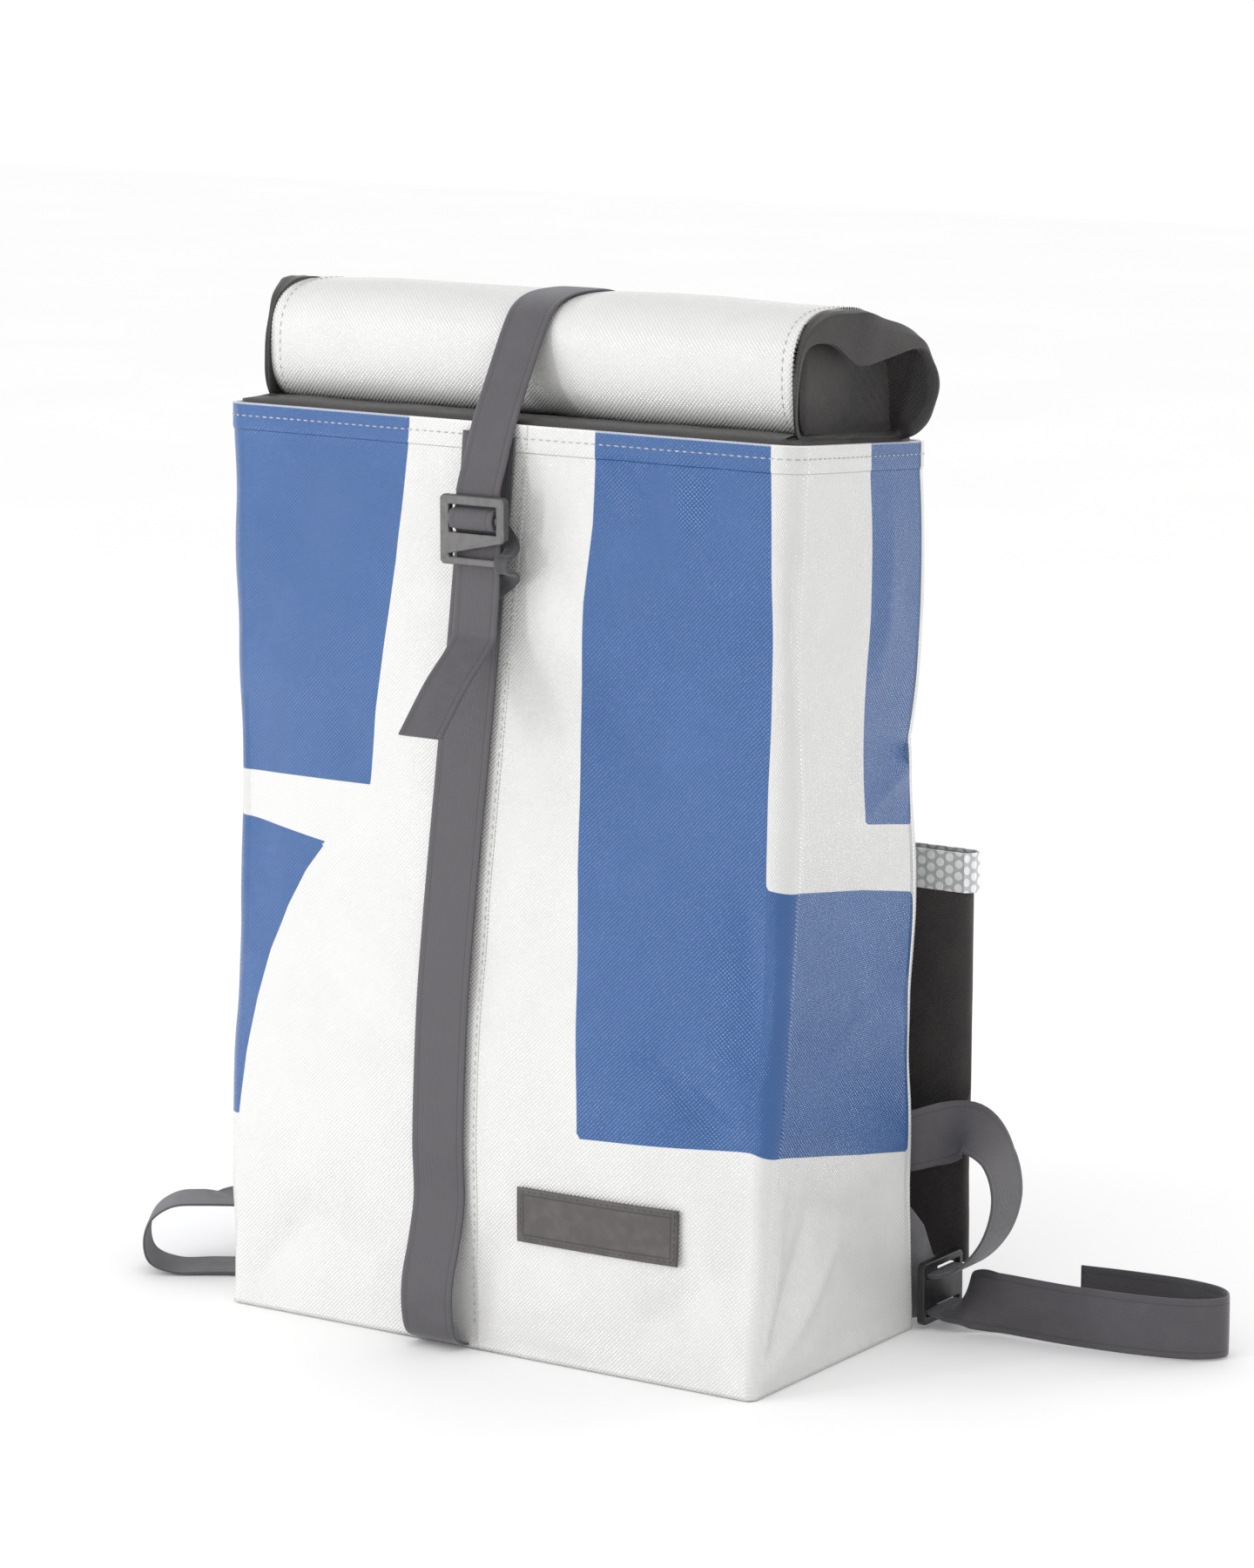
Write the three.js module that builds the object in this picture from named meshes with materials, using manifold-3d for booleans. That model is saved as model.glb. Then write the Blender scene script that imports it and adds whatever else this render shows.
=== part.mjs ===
// A roll-top messenger backpack of tarpaulin, standing on its base with the roll strapped down.
// Millimetres. X is the width, the front faces -Y, +Z is up. The origin is the centre of the base.

import * as THREE from 'three';
import Module from 'manifold-3d';

// Bag body
const BASE_WIDTH = 308;
const BASE_DEPTH = 150;
const BASE_CORNER = 5;
const HEM_WIDTH = 326;
const HEM_FRONT = 57;
const HEM_REAR = 67;
const HEM_CORNER = 11;
const ROLL_TUCK_INSET = 26;
const HEM_HEIGHT = 448;
const REAR_DROP = 10;
const FRONT_CROWN = 8;
const TARP = 2.2;
const GAP = 0.4;

// Roll and its dark gusset ends
const ROLL_LENGTH = 300;
const ROLL_FRONT = 38;
const ROLL_REAR = 41;
const ROLL_TOP = 506;
const ROLL_TUCK = 16;
const TEXTILE = 1.6;
const COLLAR_DEPTH = 24;
const END_REACH = 28.6;

// Webbing
const FRONT_WEBBING = 30;
const CLOSING_WEBBING = 25;
const SHOULDER_WEBBING = 30;
const WEBBING = 1.5;
const UNDER_BASE = 52;
const FRONT_BULGE = 12;
const STRAP_REAR_DROP = 34;
const TAIL_DROP = 34;
const TAIL_THROW = 60;
const TAIL_ANGLE = 47;

// Hook buckle
const BUCKLE_WIDTH = 37;
const BUCKLE_HEIGHT = 33;
const BUCKLE_THICKNESS = 4;
const BUCKLE_TOP = 416;
const BUCKLE_STANDOFF = 17;
const BUCKLE_RIM = 4.5;
const SLOT_HEIGHT = 5;
const SLOT_BAR = 3.2;
const HOOK_BAR = 3.5;
const HOOK_MOUTH = 8;
const HOOK_THROAT = 1.5;
const HOOK_LOOP = 8;

// Label patch
const LABEL_WIDTH = 89;
const LABEL_HEIGHT = 27;
const LABEL_X = 67;
const LABEL_Z = 72;
const LABEL_THICKNESS = 1.2;

// Back panel and shoulder straps
const BACK_WIDTH = 256;
const BACK_HEIGHT = 372;
const BACK_LIFT = 26;
const BACK_PAD = 9;
const PAD_WIDTH = 66;
const PAD_THICKNESS = 9;
const PAD_TOP = 234;
const PAD_FOOT = 24;
const PAD_BEYOND_BASE = 14;
const PAD_OUTER = BASE_WIDTH / 2 + PAD_BEYOND_BASE;
const PAD_SPREAD = 6;
const PAD_LEAN = 10;
const BAND_HEIGHT = 20;
const BAND_WALL = 1;
const YOKE_HALF = 46;
const YOKE_HEIGHT = 346;

// Corner tab, ladder lock and adjuster webbing
const TAB_HEIGHT = 60;
const TAB_THICKNESS = 2;
const LOCK_BEYOND_BASE = 5;
const LOCK_BEHIND_BASE = 15;
const LOCK_X = BASE_WIDTH / 2 + LOCK_BEYOND_BASE;
const LOCK_Y = BASE_DEPTH / 2 + LOCK_BEHIND_BASE;
const LOCK_WIDTH = 38;
const LOCK_HEIGHT = 31;
const LOCK_THICKNESS = 4;
const LOCK_LIFT = 2;
const LOCK_RIM = 3.6;
const LOCK_SLOT = 4.6;
const ARCH_REACH = 36;
const ARCH_HEIGHT = 92;
const RIGHT_TAIL = 146;
const LEFT_TAIL = 140;
const FLOOR_CLEARANCE = 0.2;

const FINISHES = {
  tarp: { color: 0xeceeec, roughness: 0.32, metalness: 0 },
  textile: { color: 0x3c3a38, roughness: 0.85, metalness: 0 },
  webbing: { color: 0x4e4c51, roughness: 0.7, metalness: 0 },
  metal: { color: 0x5a5858, roughness: 0.4, metalness: 0.7 },
  label: { color: 0x55504f, roughness: 0.6, metalness: 0 },
  padding: { color: 0x35322f, roughness: 0.9, metalness: 0 },
  reflective: { color: 0xc4c6c6, roughness: 0.35, metalness: 0.3 },
  plastic: { color: 0x1b1b1c, roughness: 0.5, metalness: 0 },
  tab: { color: 0x77757a, roughness: 0.8, metalness: 0 },
};

const CORNER_STEPS = 4;
const SIDE_STEPS = 5;
const FACE_STEPS = 12;

// One row for each cross-section of the body. height is the share of the hem's height, spread is how far
// the outline has gone from the base's to the hem's, corner the same for the corners' radius, and crown is
// the share of the front's crown.
const BODY_SECTIONS = [
  { height: 0, spread: 0, corner: 0, crown: 0 },
  { height: 0.012, spread: 0.02, corner: 0.02, crown: 0.05 },
  { height: 0.05, spread: 0.1, corner: 0.12, crown: 0.3 },
  { height: 0.1, spread: 0.2, corner: 0.3, crown: 0.55 },
  { height: 0.16, spread: 0.32, corner: 0.5, crown: 0.8 },
  { height: 0.22, spread: 0.44, corner: 0.68, crown: 1 },
  { height: 0.3, spread: 0.58, corner: 0.8, crown: 1.1 },
  { height: 0.38, spread: 0.7, corner: 0.9, crown: 1.1 },
  { height: 0.46, spread: 0.8, corner: 1, crown: 1.05 },
  { height: 0.54, spread: 0.88, corner: 1, crown: 1 },
  { height: 0.62, spread: 0.94, corner: 1, crown: 0.9 },
  { height: 0.7, spread: 0.98, corner: 1, crown: 0.8 },
  { height: 0.78, spread: 1, corner: 1, crown: 0.7 },
  { height: 0.86, spread: 1, corner: 1, crown: 0.6 },
  { height: 0.93, spread: 1, corner: 1, crown: 0.45 },
  { height: 1, spread: 1, corner: 1, crown: 0.34 },
];

// One row for each soft dent (positive depth) or bulge in the walls. across is the share of the half width,
// through the share of the half depth, up the share of the hem's height. size and depth are shares of the
// base's depth.
const DENTS = [
  { across: 1, through: 0.7, up: 0.665, size: 0.24, depth: 0.026 },
  { across: 1, through: -0.1, up: 0.4, size: 0.5, depth: 0.02 },
  { across: 0.7, through: -1, up: 0.3, size: 0.45, depth: -0.02 },
  { across: 0.35, through: -1, up: 0.52, size: 0.5, depth: 0.02 },
  { across: 0.95, through: -0.8, up: 0.22, size: 0.3, depth: 0.025 },
  { across: 1, through: 0.3, up: 0.16, size: 0.34, depth: 0.028 },
  { across: -0.6, through: -1, up: 0.3, size: 0.6, depth: -0.02 },
  { across: -1, through: 0.2, up: 0.5, size: 0.6, depth: 0.025 },
];

// The lip of a gusset end, seen along the roll, from the front bottom over the top to the rear bottom. deep
// runs from -1 at the roll's front to 1 at its rear, up from 0 at the collar to 1 at the roll's top, out is
// the share of the reach, and tuck is how far that point's fold turns down into the mouth.
const END_LIP = [
  { deep: -0.9, up: 0, out: 0.06, tuck: 0 },
  { deep: -1, up: 0.42, out: 0.08, tuck: 0 },
  { deep: -0.86, up: 0.8, out: 0.14, tuck: 0.06 },
  { deep: -0.5, up: 0.97, out: 0.3, tuck: 0.2 },
  { deep: -0.12, up: 0.99, out: 0.5, tuck: 0.4 },
  { deep: 0.25, up: 0.95, out: 0.7, tuck: 0.32 },
  { deep: 0.86, up: 0.8, out: 0.93, tuck: 0.1 },
  { deep: 1.08, up: 0.56, out: 1, tuck: 0 },
  { deep: 1.16, up: 0.34, out: 0.98, tuck: 0 },
  { deep: 1.2, up: 0.12, out: 0.7, tuck: 0 },
  { deep: 1.2, up: 0, out: 0.24, tuck: 0 },
  { deep: 0.5, up: 0, out: 0.16, tuck: 0 },
  { deep: -0.3, up: 0, out: 0.1, tuck: 0 },
];

// Routes of the adjuster webbing beyond a ladder lock. out and back are shares of the route's named reach,
// away from the bag and towards its rear. up is in webbing widths above the floor, heading the way it runs
// in degrees, and lean 0 lies flat and 90 stands on edge. slot 1 puts a row in the lock's lower slot.
const RIGHT_ROUTE = [
  { out: -0.007, back: 0, up: 0, slot: 1, heading: 0, lean: 0 },
  { out: 0.05, back: 0, up: 0, slot: 1, heading: 0, lean: 4 },
  { out: 0.13, back: -0.01, up: 0.47, heading: 0, lean: 60 },
  { out: 0.24, back: -0.02, up: 0.51, heading: 0, lean: 88 },
  { out: 0.5, back: -0.02, up: 0.51, heading: 0, lean: 90 },
  { out: 0.76, back: 0.01, up: 0.51, heading: 10, lean: 90 },
  { out: 0.94, back: 0.07, up: 0.51, heading: 40, lean: 90 },
  { out: 1, back: 0.15, up: 0.51, heading: 90, lean: 90 },
  { out: 0.95, back: 0.23, up: 0.51, heading: 140, lean: 90 },
  { out: 0.82, back: 0.265, up: 0.51, heading: 180, lean: 90 },
  { out: 0.6, back: 0.25, up: 0.51, heading: 180, lean: 90 },
  { out: 0.42, back: 0.22, up: 0.51, heading: 180, lean: 90 },
];
const LEFT_ROUTE = [
  { out: -0.007, back: 0, up: 0, slot: 1, heading: 0, lean: 0 },
  { out: 0.06, back: 0, up: 0, slot: 1, heading: 0, lean: 8 },
  { out: 0.16, back: -0.06, up: 0.56, heading: -45, lean: 70 },
  { out: 0.21, back: -0.2, up: 0.68, heading: -85, lean: 90 },
  { out: 0.215, back: -0.42, up: 0.76, heading: -90, lean: 80 },
  { out: 0.215, back: -0.64, up: 0.95, heading: -85, lean: 30 },
  { out: 0.245, back: -0.8, up: 1.15, heading: -60, lean: 0 },
  { out: 0.31, back: -0.89, up: 1.22, heading: -35, lean: 0 },
  { out: 0.395, back: -0.945, up: 1.18, heading: -32, lean: 0 },
  { out: 0.46, back: -0.985, up: 0.93, heading: -32, lean: 0 },
  { out: 0.48, back: -1, up: 0.57, heading: -32, lean: 0 },
  { out: 0.465, back: -0.99, up: 0.22, heading: -32, lean: 0 },
  { out: 0.395, back: -0.945, up: 0.04, heading: -32, lean: 0 },
  { out: 0.28, back: -0.87, up: 0.035, heading: -32, lean: 0 },
  { out: 0.15, back: -0.79, up: 0.035, heading: -32, lean: 0 },
];

// The slack arch between the bag and its ladder lock. out is the share of the arch's reach beyond the lock,
// back the share from the bag's rear (0) to the lock's middle (1), up the share of the way from the lock's
// upper slot to the arch's height.
const ARCH_ROUTE = [
  { out: -0.62, back: 0, up: 1, lean: 90 },
  { out: -0.3, back: 0.1, up: 1.01, lean: 90 },
  { out: 0.05, back: 0.7, up: 1.06, lean: 80 },
  { out: 0.45, back: 1, up: 1.11, lean: 45 },
  { out: 0.85, back: 1.1, up: 0.93, lean: 8 },
  { out: 1, back: 1.1, up: 0.66, lean: 0 },
  { out: 0.88, back: 1.05, up: 0.36, lean: 0 },
  { out: 0.55, back: 1, up: 0.12, lean: 0 },
  { out: 0.2, back: 1, up: 0.01, lean: 0 },
  { out: -0.03, back: 1, up: 0, lean: 0 },
];

// The front webbing's bulge above the base. up is the share of the hem's height, out the share of the bulge.
const BULGE_ROWS = [
  { up: 0.16, out: 0.04 },
  { up: 0.115, out: 0.45 },
  { up: 0.075, out: 0.93 },
  { up: 0.04, out: 1 },
  { up: 0.014, out: 0.72 },
];

const FLAT_SECTION = [[1, 1], [-1, 1], [-1, -1], [1, -1]];
const PAD_SECTION = [[1, 0.4], [0.88, 1], [-0.88, 1], [-1, 0.4], [-1, -0.4], [-0.88, -1], [0.88, -1], [1, -0.4]];
const RIBBON_DETAIL = 4;

const { degToRad, lerp, smoothstep } = THREE.MathUtils;
const vec = (x, y, z) => new THREE.Vector3(x, y, z);
const ACROSS = vec(1, 0, 0);

// Surfaces of the body

function between(key, height) {
  const above = BODY_SECTIONS.findIndex((row) => row.height >= height);
  const high = BODY_SECTIONS[Math.max(above, 1)];
  const low = BODY_SECTIONS[Math.max(above, 1) - 1];
  return lerp(low[key], high[key], (height - low.height) / (high.height - low.height));
}

function bodyOutline(z) {
  const height = THREE.MathUtils.clamp(z / HEM_HEIGHT, 0, 1);
  const spread = between('spread', height);
  return {
    half: lerp(BASE_WIDTH, HEM_WIDTH, spread) / 2,
    front: -lerp(BASE_DEPTH / 2, HEM_FRONT, spread),
    rear: lerp(BASE_DEPTH / 2, HEM_REAR, spread),
    radius: lerp(BASE_CORNER, HEM_CORNER, between('corner', height)),
    crown: FRONT_CROWN * between('crown', height),
  };
}

function dentDepth(x, y, z) {
  return DENTS.reduce((sum, dent) => {
    const dx = x - (dent.across * BASE_WIDTH) / 2;
    const dy = y - (dent.through * BASE_DEPTH) / 2;
    const dz = z - dent.up * HEM_HEIGHT;
    const size = dent.size * BASE_DEPTH;
    const reach = (dx * dx + dy * dy + dz * dz) / (size * size);
    return sum + dent.depth * BASE_DEPTH * Math.exp(-reach);
  }, 0);
}

function hemTop(y) {
  return HEM_HEIGHT - (REAR_DROP * (y + HEM_FRONT)) / (HEM_FRONT + HEM_REAR);
}

function frontAt(x, z) {
  const outline = bodyOutline(z);
  const y = outline.front - outline.crown * (1 - (x / outline.half) ** 2);
  return y + dentDepth(x, y, z);
}

function rearAt(z) {
  return bodyOutline((z * HEM_HEIGHT) / hemTop(HEM_REAR)).rear;
}

// Solids from rings and ribbons

function roundedRing(outline, inset = 0) {
  const half = outline.half - inset;
  const front = outline.front + inset;
  const rear = outline.rear - inset;
  const radius = Math.max(outline.radius - inset, 1);
  const corners = [
    { x: half - radius, y: front + radius, start: -90, steps: SIDE_STEPS },
    { x: half - radius, y: rear - radius, start: 0, steps: FACE_STEPS },
    { x: radius - half, y: rear - radius, start: 90, steps: SIDE_STEPS },
    { x: radius - half, y: front + radius, start: 180, steps: FACE_STEPS },
  ];
  const arcPoint = (corner, step) => {
    const angle = degToRad(corner.start + (90 * step) / CORNER_STEPS);
    return vec(corner.x + radius * Math.cos(angle), corner.y + radius * Math.sin(angle), 0);
  };
  const points = corners.flatMap((corner, index) => {
    const arc = Array.from({ length: CORNER_STEPS + 1 }, (_, step) => arcPoint(corner, step));
    const next = arcPoint(corners[(index + 1) % corners.length], 0);
    const side = Array.from({ length: corner.steps - 1 }, (_, step) =>
      arc.at(-1).clone().lerp(next, (step + 1) / corner.steps));
    return [...arc, ...side];
  });
  points.forEach((point) => {
    const ahead = point.y < (front + rear) / 2 ? outline.crown ?? 0 : 0;
    point.y -= ahead * (1 - (point.x / half) ** 2);
  });
  return points;
}

function loft(rings, closed = false) {
  const count = rings[0].length;
  const total = rings.length * count;
  const middle = (ring) => ring.reduce((sum, point) => sum.add(point), vec(0, 0, 0)).divideScalar(count);
  const ends = closed ? [] : [middle(rings[0]), middle(rings.at(-1))];
  const index = [];
  for (let row = 0; row < rings.length - (closed ? 0 : 1); row += 1) {
    for (let column = 0; column < count; column += 1) {
      const next = (column + 1) % count;
      const a = row * count + column;
      const b = row * count + next;
      index.push(a, b, (b + count) % total, a, (b + count) % total, (a + count) % total);
    }
  }
  for (let column = 0; column < (closed ? 0 : count); column += 1) {
    const next = (column + 1) % count;
    index.push(total, next, column);
    index.push(total + 1, total - count + column, total - count + next);
  }
  const geometry = new THREE.BufferGeometry().setFromPoints([...rings.flat(), ...ends]);
  geometry.setIndex(index);
  geometry.computeVertexNormals();
  return geometry;
}

function ribbonRings(rows, width, thickness, section, detail) {
  const curve = new THREE.CatmullRomCurve3(rows.map((row) => row.at), false, 'centripetal');
  const steps = (rows.length - 1) * detail;
  return Array.from({ length: steps + 1 }, (_, step) => {
    const row = Math.min(Math.floor(step / detail), rows.length - 2);
    const part = step / detail - row;
    const along = curve.getTangent(step / steps);
    const across = rows[row].across.clone().lerp(rows[row + 1].across, part);
    across.addScaledVector(along, -across.dot(along)).normalize();
    const up = along.clone().cross(across);
    const centre = curve.getPoint(step / steps);
    const half = (width * lerp(rows[row].scale ?? 1, rows[row + 1].scale ?? 1, part)) / 2;
    return section.map(([side, face]) => centre.clone()
      .addScaledVector(across, side * half)
      .addScaledVector(up, (face * thickness) / 2));
  });
}

function ribbon(rows, width, thickness, section = FLAT_SECTION, detail = RIBBON_DETAIL) {
  return loft(ribbonRings(rows, width, thickness, section, detail));
}

// Cuts and joins

const wasm = await Module();
wasm.setup();

function toSolid(geometry) {
  const points = geometry.getAttribute('position').array;
  const triangles = Uint32Array.from(geometry.index.array);
  return new wasm.Manifold(new wasm.Mesh({ numProp: 3, vertProperties: points, triVerts: triangles }));
}

function toGeometry(solid) {
  const mesh = solid.getMesh();
  const geometry = new THREE.BufferGeometry();
  geometry.setAttribute('position', new THREE.BufferAttribute(mesh.vertProperties, mesh.numProp));
  geometry.setIndex(new THREE.BufferAttribute(mesh.triVerts, 1));
  geometry.computeVertexNormals();
  return geometry;
}

function block(low, high) {
  const level = (z) => [vec(high.x, low.y, z), vec(high.x, high.y, z), vec(low.x, high.y, z), vec(low.x, low.y, z)];
  return loft([level(low.z), level(high.z)]);
}

// Bag

function bodyRing(z, inset) {
  return roundedRing(bodyOutline(z), inset).map((point) => {
    const side = (point.x / (BASE_WIDTH / 2)) ** 9;
    const face = (point.y / (BASE_DEPTH / 2)) ** 5;
    const outward = vec(side, face, 0).normalize();
    const height = (z * hemTop(point.y)) / HEM_HEIGHT;
    return vec(point.x, point.y, height).addScaledVector(outward, -dentDepth(point.x, point.y, z));
  });
}

const frontWebbingX = (z) => lerp(-23, -1, smoothstep(z / HEM_HEIGHT, 0.35, 1.1));

function bodyShell() {
  const heights = BODY_SECTIONS.map((row) => row.height * HEM_HEIGHT);
  const outer = heights.map((z) => bodyRing(z, 0));
  const floor = bodyRing(0, TARP).map((point) => point.setZ(TARP));
  const inner = heights.slice(2).map((z) => bodyRing(z, TARP)).reverse();
  const shell = toSolid(loft([...outer, ...inner, floor]));
  const x = frontWebbingX(0);
  const half = FRONT_WEBBING / 2 + 4 * GAP;
  const depth = WEBBING + 3 * GAP;
  const front = -BASE_DEPTH / 2;
  const rear = front + UNDER_BASE + 4 * GAP;
  const low = vec(x - half - TARP, front + TARP / 2, TARP / 2);
  const raised = toSolid(block(low, vec(x + half + TARP, rear + TARP, depth + TARP)));
  const channel = toSolid(block(vec(x - half, front - TARP, -TARP), vec(x + half, rear, depth)));
  return toGeometry(shell.add(raised).subtract(channel));
}

function collar() {
  const hem = bodyOutline(HEM_HEIGHT);
  const skin = TARP + GAP;
  const inside = { ...hem, rear: hem.rear - TARP - GAP };
  const mouth = { half: ROLL_LENGTH / 2 - 2, front: 4 - ROLL_FRONT, rear: ROLL_REAR - 4, radius: 8 };
  const ring = (outline, inset, above) => roundedRing(outline, inset)
    .map((point) => point.setZ(hemTop(point.y) + above));
  const bend = 2;
  return loft([
    ring(inside, skin, -COLLAR_DEPTH),
    ring(inside, skin, -bend),
    ring(inside, skin + bend, 0),
    ring(mouth, 0, 0),
    ring(mouth, 0, -TEXTILE),
    ring(inside, skin + bend, -TEXTILE),
    ring(inside, skin + TEXTILE, -bend - TEXTILE),
    ring(inside, skin + TEXTILE, -COLLAR_DEPTH),
  ], true);
}

// Roll

const ROLL_MIDDLE = (ROLL_REAR - ROLL_FRONT) / 2;
const ROLL_HALF_DEPTH = (ROLL_REAR + ROLL_FRONT) / 2;
const ROLL_BOTTOM = hemTop(ROLL_MIDDLE) + 2 * GAP;
const ROLL_SQUARENESS = 2 / 2.8;

function rollPoint(degrees, offset) {
  const c = Math.cos(degToRad(degrees));
  const s = Math.sin(degToRad(degrees));
  const halfHeight = (ROLL_TOP - ROLL_BOTTOM) / 2;
  const y = (ROLL_HALF_DEPTH + offset) * Math.sign(c) * Math.abs(c) ** ROLL_SQUARENESS;
  const z = (halfHeight + offset) * Math.sign(s) * Math.abs(s) ** ROLL_SQUARENESS;
  return vec(0, ROLL_MIDDLE + y, ROLL_BOTTOM + halfHeight + z);
}

function overRoll(offset, from, to, step) {
  const count = Math.round((to - from) / step) + 1;
  return Array.from({ length: count }, (_, index) => rollPoint(from + index * step, offset));
}

function riseToRoll(start, offset) {
  const meet = rollPoint(12, offset);
  const bend = vec(0, lerp(start.y, meet.y, 0.28), lerp(start.z, meet.z, 0.42));
  const near = vec(0, lerp(start.y, meet.y, 0.76), lerp(start.z, meet.z, 0.76));
  return [start, bend, near, meet];
}

function rollPanel() {
  const y = HEM_REAR - TARP - GAP - TARP / 2;
  const top = hemTop(HEM_REAR);
  const wound = [290, 315, 340, 365].map((degrees, index) => rollPoint(degrees, -TARP * (2.4 + index)));
  const path = [
    vec(0, y, top - ROLL_TUCK),
    ...riseToRoll(vec(0, y, top), -TARP / 2),
    ...overRoll(-TARP / 2, 30, 255, 15),
    ...wound,
  ];
  const tucked = (HEM_WIDTH - 2 * ROLL_TUCK_INSET) / ROLL_LENGTH;
  const scales = [tucked, tucked, lerp(tucked, 1, 0.6), 1];
  const rows = path.map((at, index) => ({ at, across: ACROSS, scale: scales[index] ?? 1 }));
  return ribbon(rows, ROLL_LENGTH, TARP, FLAT_SECTION, 2);
}

function gussetEnd(side) {
  const inner = ROLL_LENGTH / 2 + GAP;
  const ring = (reach, inset, back, tucked) => {
    const points = END_LIP.map((row) => {
      const y = ROLL_MIDDLE + row.deep * (ROLL_HALF_DEPTH - inset);
      const low = hemTop(y) + 2 * GAP + inset;
      const up = row.up - tucked * row.tuck;
      return vec(side * (inner + reach * row.out * END_REACH - back), y, lerp(low, ROLL_TOP - inset, up));
    });
    return side > 0 ? points.reverse() : points;
  };
  const wall = TEXTILE;
  return loft([
    ring(0, 0, 0, 0),
    ring(0.55, 0, 0, 0),
    ring(1, 0, 0, 0),
    ring(1, wall, 0, 1),
    ring(0.95, 2 * wall, wall, 1),
    ring(0.95, 2 * wall, wall, 0.2),
    ring(0.5, 2 * wall, 0, 0),
    ring(0, 2 * wall, -wall, 0),
  ]);
}

// Webbing of the closure

const BUCKLE_BOTTOM = BUCKLE_TOP - BUCKLE_HEIGHT;
const BUCKLE_Y = frontAt(0, BUCKLE_TOP - BUCKLE_HEIGHT / 2) - BUCKLE_STANDOFF;

function onFront(x, z, lift) {
  return vec(x, frontAt(x, z) - GAP - lift, z);
}

function frontWebbing() {
  const tall = [0.99, 0.93, 0.86, 0.78, 0.7, 0.62, 0.54, 0.46, 0.38, 0.3, 0.22];
  const upper = tall.map((share) => onFront(frontWebbingX(share * HEM_HEIGHT), share * HEM_HEIGHT, WEBBING / 2));
  const x = frontWebbingX(0);
  const bulge = BULGE_ROWS.map((row) => onFront(x, row.up * HEM_HEIGHT, WEBBING / 2 + row.out * FRONT_BULGE));
  const floor = WEBBING / 2 + 2 * FLOOR_CLEARANCE;
  const under = [0.04, 0.16, 0.4, 1].map((share) => vec(x, share * UNDER_BASE - BASE_DEPTH / 2, floor));
  return ribbon([...upper, ...bulge, ...under].map((at) => ({ at, across: ACROSS })), FRONT_WEBBING, WEBBING);
}

function closingStrap() {
  const lift = GAP + WEBBING / 2;
  const rearY = HEM_REAR + lift;
  const rim = hemTop(HEM_REAR);
  const behind = BUCKLE_THICKNESS / 2 + lift;
  const slotHigh = BUCKLE_TOP - BUCKLE_RIM - SLOT_HEIGHT / 2;
  const slotLow = slotHigh - SLOT_HEIGHT - SLOT_BAR;
  const turn = SLOT_HEIGHT * 0.68;
  const at = (back, z) => vec(0, BUCKLE_Y + back, z);
  const crease = at(-0.5 * WEBBING, BUCKLE_BOTTOM - TAIL_DROP);
  const thrown = (share, sag) => vec(
    0,
    crease.y - share * TAIL_THROW * Math.sin(degToRad(TAIL_ANGLE)),
    crease.z - share * TAIL_THROW * Math.cos(degToRad(TAIL_ANGLE)) + sag,
  );
  const path = [
    vec(0, rearY, rim - STRAP_REAR_DROP),
    vec(0, rearY, rim - STRAP_REAR_DROP / 2),
    ...riseToRoll(vec(0, rearY, rim + GAP), lift + 0.8),
    ...overRoll(lift, 30, 150, 15),
    vec(0, lerp(rollPoint(150, lift).y, frontAt(0, HEM_HEIGHT), 0.55), lerp(ROLL_TOP, HEM_HEIGHT, 0.6)),
    vec(0, frontAt(0, HEM_HEIGHT) - 2 * lift, HEM_HEIGHT),
    vec(0, lerp(frontAt(0, HEM_HEIGHT), BUCKLE_Y, 0.5), lerp(HEM_HEIGHT, BUCKLE_TOP, 0.5)),
    at(behind + 0.2, BUCKLE_TOP + 2),
    at(behind, slotHigh + turn),
    at(BUCKLE_THICKNESS * 0.45, slotHigh + 0.7),
    at(0, slotHigh),
    at(-BUCKLE_THICKNESS * 0.5, slotHigh - 0.4),
    at(-behind - 0.2, slotHigh - turn),
    at(-behind - 0.2, slotLow + turn),
    at(-BUCKLE_THICKNESS * 0.5, slotLow + 0.4),
    at(0, slotLow),
    at(BUCKLE_THICKNESS * 0.45, slotLow - 0.7),
    at(behind + 0.2, slotLow - turn),
    at(behind + 0.2, lerp(BUCKLE_BOTTOM, slotLow, 0.3)),
    at(behind, BUCKLE_BOTTOM - 1),
    at(behind * 0.6, BUCKLE_BOTTOM - TAIL_DROP * 0.45),
    at(0, BUCKLE_BOTTOM - TAIL_DROP * 0.85),
    crease,
    thrown(0.12, -1),
    thrown(0.5, 1.5),
    thrown(1, 0),
  ];
  return ribbon(path.map((point) => ({ at: point, across: ACROSS })), CLOSING_WEBBING, WEBBING);
}

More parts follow.
